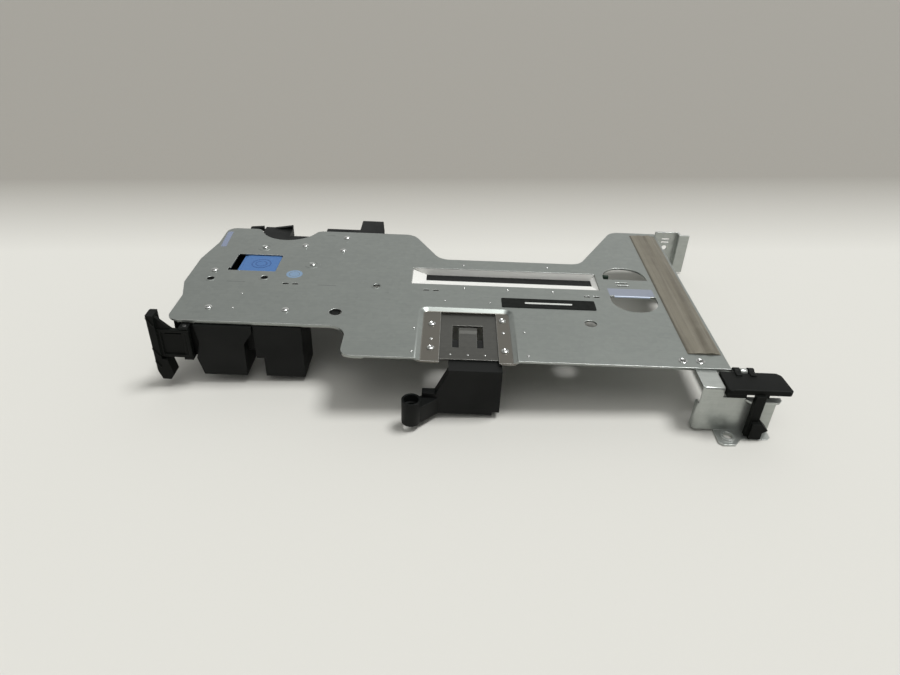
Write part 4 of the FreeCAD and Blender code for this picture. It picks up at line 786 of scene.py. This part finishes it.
@dataclass
class Shape:
    """Points and faces of a mesh under construction, in metres."""

    points: list[Vector] = field(default_factory=list)
    faces: list[tuple[int, ...]] = field(default_factory=list)

    RING_SIDES: ClassVar[int] = 40

    def add(self, points: Iterable[Sequence[float]], faces: Iterable[Sequence[int]]) -> None:
        """Add a patch of points and faces.

        Args:
            points: Corners in millimetres.
            faces: Corner numbers within this patch.
        """
        first = len(self.points)
        self.points.extend(Vector(point) * MM for point in points)
        self.faces.extend(tuple(first + index for index in face) for face in faces)

    def loft(self, rows: Sequence[Sequence[Sequence[float]]], closed: bool = False) -> None:
        """Skin rows of points that each run round a form.

        Args:
            rows: Points of each row in millimetres, the same number in each.
            closed: Whether the last row joins the first; if not, both ends get a face.
        """
        around, last = len(rows[0]), len(rows) - 1
        faces = []
        for row in range(last + closed):
            here, there = row * around, (row + 1) % len(rows) * around
            for step in range(around):
                after = (step + 1) % around
                faces.append((here + step, here + after, there + after, there + step))
        if not closed:
            faces.append(tuple(reversed(range(around))))
            faces.append(tuple(last * around + step for step in range(around)))
        self.add([point for row in rows for point in row], faces)

    @staticmethod
    def turned(centre: Sequence[float], ring: Point, angle: float) -> Triple:
        """Place a point of a turned form.

        Args:
            centre: Foot of the upright axis in millimetres.
            ring: The point's radius and height.
            angle: Its angle about the axis.

        Returns:
            The point in millimetres.
        """
        radius, height = ring
        x, y = centre[0] + radius * math.cos(angle), centre[1] + radius * math.sin(angle)
        return x, y, centre[2] + height

    def lathe(self, centre: Sequence[float], profile: Sequence[Point], sides: int) -> None:
        """Turn a profile of radii and heights about an upright axis, in millimetres."""
        angles = [math.tau * side / sides for side in range(sides)]
        self.loft([[self.turned(centre, ring, angle) for angle in angles] for ring in profile])

    def prism(self, outline: Sequence[Point], low: float, high: float) -> None:
        """Raise a flat outline between two heights, in millimetres."""
        self.loft([[(*corner, level) for corner in outline] for level in (low, high)])

    def ribbon(self, path: Sequence[Point], width: float, low: float, high: float) -> None:
        """Lay a strip of even width along a path.

        Args:
            path: Points of its middle line in millimetres.
            width: Full width.
            low: Lower height.
            high: Upper height.
        """
        left, right = [], []
        for index, point in enumerate(path):
            before = Vector(path[max(index - 1, 0)])
            after = Vector(path[min(index + 1, len(path) - 1)])
            along = (after - before).normalized()
            side = Vector((-along.y, along.x)) * width / 2
            left.append(tuple(Vector(point) + side))
            right.append(tuple(Vector(point) - side))
        self.prism(right + left[::-1], low, high)

    def ring(self, centre: Sequence[float], inner: float, outer: float, high: float) -> None:
        """Lay a flat ring with eased edges.

        Args:
            centre: Middle of its lower face in millimetres.
            inner: Inner radius.
            outer: Outer radius.
            high: Height above the lower face.
        """
        ease = min(high, (outer - inner) / 4)
        profile = [(inner, 0), (outer, 0), (outer - ease, high), (inner + ease, high)]
        angles = [math.tau * side / self.RING_SIDES for side in range(self.RING_SIDES)]
        rows = [[self.turned(centre, ring, angle) for ring in profile] for angle in angles]
        self.loft(rows, closed=True)

    def block(self, low: Sequence[float], high: Sequence[float]) -> None:
        """Add a square block between two corners in millimetres."""
        outline = [(low[0], low[1]), (high[0], low[1]), (high[0], high[1]), (low[0], high[1])]
        self.prism(outline, low[2], high[2])

    def piece(
        self,
        name: str,
        finish: str,
        body: Body,
        slot: Slot | None = None,
        ease: float = 0.0,
    ) -> bpy.types.Object:
        """Turn the shape into a piece of the part.

        Args:
            name: The piece's name.
            finish: Name of its finish.
            body: Body that it rides on.
            slot: Not used.
            ease: Width of the eased edges in millimetres.

        Returns:
            The new object.
        """
        mesh = bpy.data.meshes.new(name)
        mesh.from_pydata([tuple(point) for point in self.points], [], self.faces)
        tidy = bmesh.new()
        tidy.from_mesh(mesh)
        bmesh.ops.recalc_face_normals(tidy, faces=tidy.faces[:])
        tidy.to_mesh(mesh)
        tidy.free()
        mesh.materials.append(PALETTE[finish])
        made = new_object(name, mesh)
        if ease > 0:
            ease_edges(made, ease, SMOOTH_UNDER)
        mesh.shade_smooth()
        mesh.set_sharp_from_angle(angle=math.radians(SMOOTH_UNDER))
        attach(made, body.value)
        LOG.info("piece %s: %d faces on %s", name, len(mesh.polygons), body.value)
        return made


class CadDressing:
    """Finishes and softened edges of the CAD nodes that stay in view."""

    NODES: ClassVar[dict[str, tuple[str, float]]] = {
        "top_plate": ("plate_zinc", 0.2),
        "foot_bracket": ("tongue_zinc", 0.15),
        "rear_bracket": ("bracket_zinc", 0.2),
        "guide_foot": ("moulding_black", 0.35),
        "card_guide": ("moulding_black", 0.4),
        "far_guide": ("moulding_black", 0.35),
        "button_housing": ("moulding_black", 0.0),
        "card_latch": ("latch_black", 0.3),
        "end_latch": ("latch_black", 0.3),
        "release_button": ("button_blue", 0.3),
        "card_latch_pin": ("pin_polish", 0.0),
        "end_latch_pin": ("pin_polish", 0.0),
        "riser_board": ("board_mask", 0.0),
        "slot_connector": ("connector_black", 0.15),
        "board_screws": ("pin_polish", 0.0),
        "board_chip": ("package_black", 0.1),
        "board_capacitors": ("ceramic_tan", 0.15),
    }

    def dress(self) -> None:
        """Give every node its finish."""
        for name, (finish, width) in self.NODES.items():
            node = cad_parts[name]
            node.data.materials.clear()
            node.data.materials.append(PALETTE[finish])
            self.ease(node, width)
            LOG.info("node %s: %s", name, finish)

    def ease(self, node: bpy.types.Object, width: float) -> None:
        """Ease a node's edges by modifiers, so its own mesh stays as packed.

        Args:
            node: The CAD node's object.
            width: Width of the eased edges in millimetres; none when zero.
        """
        weld = node.modifiers.new("joined_corners", "WELD")
        weld.merge_threshold = WELD_GAP
        if width <= 0:
            return
        flat = node.modifiers.new("whole_faces", "DECIMATE")
        flat.decimate_type = "DISSOLVE"
        flat.angle_limit = math.radians(1.0)
        ease_edges(node, width, EASE_OVER).harden_normals = True


def islands(node: str) -> list[tuple[Vector, Vector]]:
    """Find the boxes of a CAD node's separate solids.

    Args:
        node: The node's name.

    Returns:
        Lowest and highest corner of each solid, in millimetres.
    """
    mesh = bmesh.new()
    mesh.from_mesh(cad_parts[node].data)
    bmesh.ops.remove_doubles(mesh, verts=mesh.verts[:], dist=WELD_GAP)
    seen: set[bmesh.types.BMVert] = set()
    boxes = []
    for first in mesh.verts:
        if first in seen:
            continue
        seen.add(first)
        todo, members = [first], []
        while todo:
            vert = todo.pop()
            members.append(vert.co / MM)
            for edge in vert.link_edges:
                other = edge.other_vert(vert)
                if other not in seen:
                    seen.add(other)
                    todo.append(other)
        low = Vector([min(point[axis] for point in members) for axis in range(3)])
        high = Vector([max(point[axis] for point in members) for axis in range(3)])
        boxes.append((low, high))
    mesh.free()
    return sorted(boxes, key=lambda box: tuple(box[0]))


@dataclass
class RivetSet:
    """Turned rivets that stand for a CAD group of plain ones."""

    node: str
    style: RivetStyle
    seat: float
    head_height: float = 0.95
    head_radius: float = 2.0
    shank_radius: float = 1.0
    sides: int = 32

    def profile(self, shank: float) -> list[Point]:
        """Give the turned profile of one rivet.

        Args:
            shank: Length of the shank in millimetres.

        Returns:
            Radius and height of each ring, from the shank's foot up.
        """
        top, wide = self.head_height, self.head_radius
        foot = [(self.shank_radius, -shank), (self.shank_radius, 0.0), (wide, 0.0)]
        if self.style is RivetStyle.DOMED:
            steps = [0.12 + 0.16 * step for step in range(9)]
            arc = [(wide * math.cos(step), top * math.sin(step)) for step in steps]
            return foot + arc + [(0.05, top)]
        if self.style is RivetStyle.HOLLOW:
            rim = [(wide * 0.97, top * 0.25), (wide * 0.86, top * 0.36), (wide * 0.74, top * 0.3)]
            return foot + rim + [(wide * 0.6, top * 0.05), (wide * 0.5, -0.55), (0.05, -0.6)]
        rim = [(wide * 0.98, top * 0.4), (wide * 0.85, top * 0.75), (wide * 0.62, top)]
        return foot + rim + [(wide * 0.46, top * 0.8), (wide * 0.3, top * 0.45), (0.05, top * 0.4)]

    def build(self) -> None:
        """Turn every rivet of the group."""
        shape = Shape()
        for low, high in islands(self.node):
            centre = ((low.x + high.x) / 2, (low.y + high.y) / 2, self.seat)
            shape.lathe(centre, self.profile(self.seat - low.z), self.sides)
        made = shape.piece(f"{self.node}_turned", "rivet_zinc", Body.FRAME, Slot.RIVET)
        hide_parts(self.node)


@dataclass
class PlateMarks:
    """Pressed dots, rims, prints and the soft crease on the plate."""

    top: float
    panel: float
    strip: float
    strip_width: float = 3.2
    line_width: float = 0.4
    crease_half: float = 2.6
    crease_rise: float = 0.07
    crease_steps: int = 10

    DOTS: ClassVar[Spots] = (
        (23.6, 105.7), (71.9, 106.6), (23.9, 78.1), (47.5, 77.8), (72.0, 77.7), (13.7, 63.8),
        (37.3, 63.4), (-0.9, 36.2), (-0.9, 15.8), (53.3, 35.6), (53.6, 15.1),
    )
    FAINT_DOTS: ClassVar[Spots] = ((-92.9, 64.2), (-93.4, 49.1))
    PANEL_DOTS: ClassVar[Spots] = ((17.2, 17.9), (25.5, 17.9), (33.7, 17.9))
    STRIP_DOTS: ClassVar[Spots] = ((7.8, 29.4), (43.2, 36.7))
    DIMPLES: ClassVar[Spots] = ((-93.9, 119.5), (-62.2, 99.4))
    PILOTS: ClassVar[Spots] = ((-113.9, 79.0), (-85.6, 82.1), (-23.6, 77.3))
    LINES: ClassVar[tuple[Spots, ...]] = (
        ((-104.5, 76.4), (-94.5, 76.3)),
        ((-55.2, 75.8), (-45.2, 75.6)),
        ((-60.5, 139.0), (-55.5, 139.0)),
    )
    TOUCH: ClassVar[Point] = (-70.1, 87.2)
    EDGE_STRIP: ClassVar[Spots] = ((-120.0, 139.5), (-118.6, 118.5))

    # Inner radius, outer radius and height of each ring
    DIMPLE_RING: ClassVar[Triple] = (2.6, 4.4, 0.14)
    PILOT_RIM: ClassVar[Triple] = (2.03, 3.1, 0.16)
    TOUCH_DISC: ClassVar[Triple] = (0.05, 4.5, 0.05)
    TOUCH_LINE: ClassVar[Triple] = (2.7, 3.0, 0.06)

    CREASE: ClassVar[Spots] = ((-10.0, 141.0), (-10.0, 128.0), (-11.0, 99.5), (-14.0, 84.0), (-17.0, 70.0))

    def build(self) -> None:
        """Make every mark."""
        self.pressed_dots()
        self.dimples()
        self.pilot_rims()
        self.prints()
        self.crease()

    def pressed_dots(self) -> None:
        """Raise the small half-sheared dots."""
        shape = Shape()
        groups = (
            (self.DOTS, self.top, 0.7, 0.42),
            (self.FAINT_DOTS, self.top, 0.6, 0.14),
            (self.PANEL_DOTS, self.panel, 0.6, 0.34),
            (self.STRIP_DOTS, self.strip, 0.95, 0.42),
        )
        for spots, level, radius, rise in groups:
            profile = [(radius, -0.05), (radius, 0.0), (radius * 0.92, rise * 0.45)]
            profile += [(radius * 0.7, rise * 0.8), (radius * 0.4, rise), (0.03, rise * 1.05)]
            for spot in spots:
                shape.lathe((*spot, level), profile, 18)
        shape.piece("plate_dots", "rivet_zinc", Body.FRAME, Slot.RIVET)

    def dimples(self) -> None:
        """Raise the drawn rings with a screw dome in each."""
        rings, domes = Shape(), Shape()
        for spot in self.DIMPLES:
            rings.ring((*spot, self.top - PRINT_SINK), *self.DIMPLE_RING)
            profile = [(1.7, -0.05), (1.7, 0.1), (1.6, 0.45), (1.2, 0.75), (0.6, 0.92), (0.04, 0.96)]
            domes.lathe((*spot, self.top), profile, 28)
        rings.piece("dimple_rings", "pressed_zinc", Body.FRAME, Slot.PLATE)
        domes.piece("dimple_domes", "rivet_zinc", Body.FRAME, Slot.RIVET)

    def pilot_rims(self) -> None:
        """Raise the burr round each small hole."""
        shape = Shape()
        for spot in self.PILOTS:
            shape.ring((*spot, self.top - PRINT_SINK), *self.PILOT_RIM)
        shape.piece("pilot_rims", "pressed_zinc", Body.FRAME, Slot.PLATE)

    def prints(self) -> None:
        """Print the touch ring, the edge strip and the thin lines."""
        low, high = self.top - PRINT_SINK, self.top + PRINT_RISE
        touch = Shape()
        touch.ring((*self.TOUCH, low), *self.TOUCH_DISC)
        touch.piece("touch_print", "ink_blue", Body.FRAME)
        strip = Shape()
        strip.ribbon(self.EDGE_STRIP, self.strip_width, low, high)
        strip.piece("edge_print", "edge_tint", Body.FRAME)
        lines = Shape()
        lines.ring((*self.TOUCH, self.top), *self.TOUCH_LINE)
        for line in self.LINES:
            lines.ribbon(line, self.line_width, low, high)
        lines.piece("fine_prints", "ink_grey", Body.FRAME)

    def crease(self) -> None:
        """Raise the long soft swell that a press stroke left across the plate."""
        half, edge, foot = self.crease_half, self.top - 0.004, self.top - 0.03
        rows = []
        for x, y in self.CREASE:
            row = []
            for step in range(self.crease_steps + 1):
                share = 2 * step / self.crease_steps - 1
                swell = self.crease_rise * (1 + math.cos(math.pi * share)) / 2
                row.append((x + half * share, y, edge + swell))
            rows.append([*row, (x + half, y, foot), (x - half, y, foot)])
        shape = Shape()
        shape.loft(rows)
        shape.piece("plate_crease", "pressed_zinc", Body.FRAME, Slot.PLATE)


@dataclass
class GripBar:
    """Tinted bar across the finger slot with a bright rolled edge."""

    top: float
    left: float = 102.8
    right: float = 127.4
    near: float = 76.0
    tint_far: float = 84.5
    inset: float = 2.6
    bead: float = 0.55
    edge: float = 0.5

    def build(self) -> None:
        """Tint the bar's near half and roll its near edge."""
        tint = Shape()
        corners = [(self.left, self.near + self.edge), (self.right, self.near + self.edge)]
        corners += [(self.right, self.tint_far), (self.left, self.tint_far)]
        tint.prism(corners, self.top - PRINT_SINK, self.top + PRINT_RISE)
        tint.piece("grip_tint", "grip_tint", Body.FRAME)
        self.edge_bead()

    def edge_bead(self) -> None:
        """Lay a half-round bead along the near edge."""
        y, z = self.near + self.edge / 2, self.top - SHEET / 2
        arc = [math.radians(angle) for angle in range(60, 241, 20)]
        round_edge = [(y + self.bead * math.cos(angle), z + self.bead * math.sin(angle)) for angle in arc]
        ends = (self.left + self.inset, self.right - self.inset)
        shape = Shape()
        shape.loft([[(x, *point) for point in round_edge] for x in ends])
        shape.piece("grip_bead", "grip_edge", Body.FRAME)


@dataclass
class SlotFilm:
    """Pale skirt of film between the window's edges and the top of the slot."""

    plate_top: float
    plate_under: float
    left: float = -4.9
    right: float = 98.4
    near: float = 81.2
    far: float = 100.6
    lap: float = 0.2
    far_run: float = 1.2
    rim_drop: float = 0.3
    thick: float = 0.15
    gap: float = 0.01

    def build(self) -> None:
        """Lay the four sheets of the skirt on the slot's top."""
        low, high = box_mm("slot_connector")
        seat = high.z + self.gap
        rim = self.plate_top - self.rim_drop - self.thick
        tucked = self.plate_under - self.thick - self.gap
        near, far = low.y + self.lap, self.far - self.far_run
        left, right = low.x + self.lap, high.x - self.lap
        outer = [(self.left, self.near), (self.right, self.near)]
        outer += [(self.right, self.far), (self.left, self.far)]
        inner = [(left, near), (right, near), (right, far), (left, far)]
        shape = Shape()
        for side, level in enumerate((tucked, tucked, rim, tucked)):
            after = (side + 1) % 4
            self.sheet(shape, [outer[side], outer[after], inner[after], inner[side]], level, seat)
        shape.piece("slot_film", "slot_film", Body.FRAME)

    def sheet(self, shape: Shape, corners: list[Point], outer: float, inner: float) -> None:
        """Add one sloping sheet.

        Args:
            shape: Where it goes.
            corners: Two corners at the window's edge, then two at the slot.
            outer: Height at the window's edge.
            inner: Height at the slot.
        """
        levels = (outer, outer, inner, inner)
        lower = [(*corner, level) for corner, level in zip(corners, levels)]
        upper = [(x, y, z + self.thick) for x, y, z in lower]
        shape.loft([lower, upper])


@dataclass
class GripRibs:
    """Slanted finger ribs on the near face of the end latch's grip."""

    width: float = 0.7
    rise: float = 0.45
    sink: float = 0.05
    taper: float = 0.18
    ease: float = 0.08

    RIBS: ClassVar[tuple[Spots, ...]] = (
        ((-129.5, 32.6), (-126.4, 27.6)),
        ((-129.5, 15.1), (-126.3, 9.8)),
        ((-129.4, 7.6), (-127.0, 3.6)),
    )

    def build(self) -> None:
        """Raise the ribs."""
        low, _ = box_mm("end_latch")
        shape = Shape()
        for start, end in self.RIBS:
            first, last = Vector(start), Vector(end)
            across = (last - first).orthogonal().normalized() * self.width / 2
            corners = [first - across, first + across, last + across, last - across]
            base = [(corner.x, low.y + self.sink, corner.y) for corner in corners]
            middle = (first + last) / 2
            crown = []
            for corner in corners:
                inward = corner + (middle - corner) * self.taper
                crown.append((inward.x, low.y - self.rise, inward.y))
            shape.loft([base, crown])
        shape.piece("grip_ribs", "latch_black", Body.END_LATCH, Slot.LATCH, self.ease)


@dataclass
class GasketStrip:
    """Cloth-wrapped foam strip that stands for the plain CAD one."""

    node: str = "emi_gasket"
    slices: int = 90
    steps: int = 28
    flat: float = 0.34
    least: float = 0.06
    end_height: float = 0.55

    # Rise, place across and width of each crest
    CRESTS: ClassVar[tuple[Triple, ...]] = ((0.30, 0.36, 0.15), (0.5, 0.7, 0.13))

    def height(self, share: float, along: float) -> float:
        """Give the strip's height over its width.

        Args:
            share: Place across the width from 0 to 1.
            along: Place along the strip in millimetres.

        Returns:
            Height over the plate as a share of the whole.
        """
        crest = sum(rise * math.exp(-(((share - at) / width) ** 2)) for rise, at, width in self.CRESTS)
        sag = 0.02 * math.sin(along * 0.21) + 0.015 * math.sin(along * 0.53 + share * 5)
        edge = min(1.0, share / 0.03, (1 - share) / 0.05)
        return max(self.least, (self.flat + crest + sag) * edge)

    def build(self) -> None:
        """Loft the strip."""
        low, high = box_mm(self.node)
        size = high - low
        rows = []
        for index in range(self.slices + 1):
            along = low.y + size.y * index / self.slices
            end = min(1.0, min(index, self.slices - index) + self.end_height)
            row = []
            for share in (step / self.steps for step in range(self.steps + 1)):
                rise = size.z * self.height(share, along) * end
                row.append((low.x + size.x * share, along, low.z + rise))
            rows.append([*row, (high.x, along, low.z), (low.x, along, low.z)])
        shape = Shape()
        shape.loft(rows)
        made = shape.piece("gasket_cloth_strip", "gasket_cloth", Body.FRAME, Slot.GASKET)
        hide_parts(self.node)


@dataclass
class BlankLabel:
    """Black film label with one plain stripe."""

    node: str = "id_label"
    corner: float = 0.8
    ease: float = 0.06
    stripe_length: float = 25.0
    stripe_height: float = 1.5
    stripe_sink: float = 0.01

    def rounded(self, low: Vector, high: Vector, radius: float) -> list[Point]:
        """Give a rectangle with round corners.

        Args:
            low: Lower left corner in millimetres.
            high: Upper right corner in millimetres.
            radius: Corner radius.

        Returns:
            The outline.
        """
        outline = []
        corners = ((high.x, low.y, -90), (high.x, high.y, 0), (low.x, high.y, 90), (low.x, low.y, 180))
        for x, y, start in corners:
            inner_x = x - math.copysign(radius, x - (low.x + high.x) / 2)
            inner_y = y - math.copysign(radius, y - (low.y + high.y) / 2)
            for step in range(5):
                angle = math.radians(start + step * 22.5)
                outline.append((inner_x + radius * math.cos(angle), inner_y + radius * math.sin(angle)))
        return outline

    def build(self) -> None:
        """Lay the film and its stripe."""
        low, high = box_mm(self.node)
        film = Shape()
        film.prism(self.rounded(low, high, self.corner), low.z, high.z)
        made = film.piece("label_film", "label_black", Body.FRAME, Slot.LABEL, self.ease)
        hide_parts(self.node)
        middle = (low + high) / 2
        half = Vector((self.stripe_length / 2, self.stripe_height / 2, 0.0))
        stripe = Shape()
        outline = self.rounded(middle - half, middle + half, self.stripe_height / 2.2)
        stripe.prism(outline, high.z - self.stripe_sink, high.z + PRINT_RISE)
        stripe.piece("label_stripe", "label_mark", Body.FRAME)


@dataclass
class ButtonMarks:
    """Concentric touch rings on the release button."""

    outer: float = 5.2
    inner: float = 3.0
    line: float = 0.35
    rise: float = 0.12

    def build(self) -> None:
        """Raise the rings."""
        low, high = box_mm("release_button")
        centre = ((low.x + high.x) / 2, (low.y + high.y) / 2, high.z - PRINT_SINK)
        shape = Shape()
        for radius in (self.outer, self.inner):
            shape.ring(centre, radius - self.line, radius + self.line, self.rise)
        shape.piece("button_rings", "button_line", Body.BUTTON, Slot.BLUE)


@dataclass
class BoardDressing:
    """Gold contacts of the edge tab and the slot, and solder joints behind the slot."""

    pitch: float = 1.0
    pad_width: float = 0.7
    pad_height: float = 3.6
    pad_foot: float = 0.5
    pad_thick: float = 0.04
    pad_sink: float = 0.01
    contact_width: float = 0.5
    contact_margin: float = 2.2
    key_from: float = 11.6
    key_to: float = 14.4
    joint_pitch: float = 2.0
    joint_margin: float = 3.0
    joint_half: float = 0.36
    joint_rise: float = 0.45

    TAB_RUNS: ClassVar[Spots] = ((10.8, 32.4), (35.8, 74.4))
    CONTACT_DEPTHS: ClassVar[Point] = (0.8, 7.6)
    CONTACT_FACES: ClassVar[Point] = (0.94, 0.74)
    JOINT_ROWS: ClassVar[Point] = (1.6, 3.0)

    def build(self) -> None:
        """Make the contacts and joints."""
        low, high = box_mm("riser_board")
        slot_low, slot_high = box_mm("slot_connector")
        self.tab_pads(low, high)
        self.slot_contacts(slot_low, slot_high)
        self.solder_joints(high, slot_low, slot_high)

    def tab_pads(self, low: Vector, high: Vector) -> None:
        """Lay the gold pads on both faces of the tab.

        Args:
            low: The board's lowest corner in millimetres.
            high: The board's highest corner in millimetres.
        """
        shape = Shape()
        foot = low.z + self.pad_foot
        top = foot + self.pad_height
        for left, right in self.TAB_RUNS:
            for index in range(int((right - left) / self.pitch)):
                x = left + index * self.pitch
                for y in (low.y + self.pad_sink - self.pad_thick, high.y - self.pad_sink):
                    shape.block((x, y, foot), (x + self.pad_width, y + self.pad_thick, top))
        shape.piece("tab_pads", "contact_gold", Body.FRAME)

    def slot_contacts(self, low: Vector, high: Vector) -> None:
        """Put two rows of contacts into the slot's mouth.

        Args:
            low: The connector's lowest corner in millimetres.
            high: The connector's highest corner in millimetres.
        """
        shape = Shape()
        middle = (low.z + high.z) / 2
        near, far = (low.y + depth for depth in self.CONTACT_DEPTHS)
        start, end = low.x + self.contact_margin, high.x - self.contact_margin
        for left, right in ((start, low.x + self.key_from), (low.x + self.key_to, end)):
            for index in range(int((right - left) / self.pitch)):
                x = left + index * self.pitch
                for side in (-1, 1):
                    bottom, top = sorted(middle + side * face for face in self.CONTACT_FACES)
                    shape.block((x, near, bottom), (x + self.contact_width, far, top))
        shape.piece("slot_contacts", "contact_gold", Body.FRAME)

    def solder_joints(self, board: Vector, low: Vector, high: Vector) -> None:
        """Dot the board's far face behind the slot.

        Args:
            board: The board's highest corner in millimetres.
            low: The connector's lowest corner in millimetres.
            high: The connector's highest corner in millimetres.
        """
        shape = Shape()
        side = self.joint_half
        corners = ((-side, -side), (side, -side), (side, side), (-side, side))
        rows = [low.z + row for row in self.JOINT_ROWS] + [high.z - row for row in reversed(self.JOINT_ROWS)]
        count = int((high.x - low.x - 2 * self.joint_margin) / self.joint_pitch)
        for row, z in enumerate(rows):
            for index in range(count):
                x = low.x + self.joint_margin + index * self.joint_pitch + (row % 2)
                points = [(x + across, board.y - PRINT_SINK, z + up) for across, up in corners]
                points.append((x, board.y + self.joint_rise, z))
                shape.add(points, [(0, 1, 2, 3), (0, 4, 1), (1, 4, 2), (2, 4, 3), (3, 4, 0)])
        shape.piece("solder_joints", "rivet_zinc", Body.FRAME)


@dataclass
class Studio:
    """Floor, lights, world and the photograph's camera."""

    slope: float = 0.0437
    floor_side: float = 40.0
    floor_drop: float = 3.26 * MM
    lens: float = 27.04
    sensor: float = 36.0
    key_power: float = 2.1
    fill_power: float = 0.25
    room_light: float = 0.09
    backdrop_light: float = 0.42
    place: Triple = (14.8 * MM, -244.7 * MM, 205.7 * MM)

    KEY_FROM: ClassVar[Triple] = (0.34, 0.06, 1.0)
    FILL_FROM: ClassVar[Triple] = (-0.3, -0.75, 0.8)
    KEY_SPREAD: ClassVar[float] = 20.0
    FILL_SPREAD: ClassVar[float] = 60.0
    WORLD_TONE: ClassVar[Colour] = (255, 255, 252)
    FLOOR_NEAR: ClassVar[Colour] = (214, 213, 207)
    FLOOR_FAR: ClassVar[Colour] = (152, 149, 142)
    FLOOR_TURN: ClassVar[Point] = (0.19, 0.34)
    CAMERA_AXES: ClassVar[tuple[Triple, Triple, Triple]] = (
        (0.99928, 0.01490, 0.03499),
        (-0.03747, 0.54327, 0.83872),
        (-0.00651, -0.83943, 0.54343),
    )

    def build(self) -> None:
        """Set the whole stage."""
        self.floor()
        self.world()
        self.sun("ceiling_light", self.KEY_FROM, self.key_power, self.KEY_SPREAD)
        self.sun("front_fill", self.FILL_FROM, self.fill_power, self.FILL_SPREAD)
        self.camera()

    def floor(self) -> None:
        """Lay the pale floor on the part's own feet."""
        half = self.floor_side / 2
        mesh = bpy.data.meshes.new("stage_floor")
        corners = [(-half, -half), (half, -half), (half, half), (-half, half)]
        points = [(x, y, self.slope * x - self.floor_drop) for x, y in corners]
        mesh.from_pydata(points, [], [(0, 1, 2, 3)])
        finish = StageFloor("floor_pale", self.FLOOR_NEAR, self.FLOOR_FAR, *self.FLOOR_TURN)
        mesh.materials.append(finish.build())
        made = new_object("stage_floor", mesh)

    def world(self) -> None:
        """Surround the part by a bright ceiling, grey back and side walls and a darker front."""
        world = bpy.data.worlds.new("studio_world")
        world.use_nodes = True
        world.node_tree.nodes.clear()
        graph = Graph(world.node_tree)
        where = graph.node("ShaderNodeTexCoord")
        x, y, z = graph.axes(where.outputs["Generated"])
        above = graph.total(graph.math("MULTIPLY", z, 0.97), graph.math("MULTIPLY", y, -0.25))
        ceiling = graph.spread(above, 0.84, 0.97, 0.0, 1.1)
        back = graph.spread(y, 0.2, 0.7, 0.0, 0.56)
        drift = graph.spread(x, -0.5, 0.5, 0.84, 1.2)
        below = graph.spread(z, 0.0, -0.2, 0.0, 0.3)
        side = graph.spread(graph.math("ABSOLUTE", x), 0.6, 0.9, 0.0, 0.42)
        walls = graph.math("MAXIMUM", graph.math("MULTIPLY", back, drift), side)
        level = graph.total(walls, ceiling, below, self.room_light)
        seen = graph.node("ShaderNodeLightPath").outputs["Is Camera Ray"]
        shift = graph.math("MULTIPLY", seen, graph.math("SUBTRACT", self.backdrop_light, level))
        light = graph.node("ShaderNodeBackground")
        light.inputs["Color"].default_value = linear(self.WORLD_TONE)
        graph.feed(light.inputs["Strength"], graph.math("ADD", level, shift))
        output = graph.node("ShaderNodeOutputWorld")
        graph.feed(output.inputs["Surface"], light.outputs[0])
        bpy.context.scene.world = world

    def sun(self, name: str, towards: Sequence[float], power: float, spread: float) -> None:
        """Hang a far, soft light.

        Args:
            name: The light's name.
            towards: Direction from the part to the light.
            power: Its strength on a facing surface.
            spread: Its width in the sky, in degrees.
        """
        light = bpy.data.lights.new(name, "SUN")
        light.energy = power
        light.angle = math.radians(spread)
        made = new_object(name, light)
        made.rotation_euler = Vector(towards).to_track_quat("Z", "Y").to_euler()

    def camera(self) -> None:
        """Place the camera where the photograph was taken."""
        lens = bpy.data.cameras.new("photo_camera")
        lens.lens = self.lens
        lens.sensor_width = self.sensor
        lens.clip_start = 0.01
        made = new_object("photo_camera", lens)
        turn = Matrix(self.CAMERA_AXES).transposed().to_4x4()
        made.matrix_world = Matrix.Translation(self.place) @ turn
        bpy.context.scene.camera = made


@dataclass
class SpringCoil:
    """Coil of the button's spring, copied from the CAD node onto the frame."""

    node: str = "button_spring"
    joint: str = "button_slide"
    travel: float = 3.2

    def build(self) -> None:
        """Copy the CAD coil's mesh into a piece on the frame and hide the CAD coil."""
        low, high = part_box(self.node)
        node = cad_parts[self.node]
        coil = new_object("spring_coil", node.data.copy())
        coil.matrix_world = node.matrix_world.copy()
        coil.data.materials.clear()
        coil.data.materials.append(PALETTE["pin_polish"])
        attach(coil, Body.FRAME.value)
        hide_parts(self.node)
        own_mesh(coil)
        LOG.info("piece spring_coil: %d faces on %s", len(coil.data.polygons), Body.FRAME.value)


def main() -> None:
    """Build every piece, dress the nodes and set the stage."""
    logging.basicConfig(level=logging.INFO, format="%(name)s: %(message)s")
    bpy.context.scene.view_settings.view_transform = "Standard"
    CadDressing().dress()
    plate_top = box_mm("top_plate")[1].z
    panel = box_mm("foot_bracket")[1].z - PANEL_STEP
    strip = panel + SHEET
    PlateMarks(top=plate_top, panel=panel, strip=strip).build()
    GripBar(top=plate_top).build()
    SlotFilm(plate_top=plate_top, plate_under=plate_top - SHEET).build()
    RivetSet("plate_rivets", RivetStyle.DOMED, plate_top).build()
    RivetSet("bracket_rivets", RivetStyle.HOLLOW, plate_top, head_height=0.9, head_radius=2.1).build()
    RivetSet("foot_rivets", RivetStyle.STAKED, strip, head_height=0.8, head_radius=1.9).build()
    GasketStrip().build()
    BlankLabel().build()
    ButtonMarks().build()
    GripRibs().build()
    BoardDressing().build()
    SpringCoil().build()
    Studio().build()


if __name__ == "__main__":
    main()
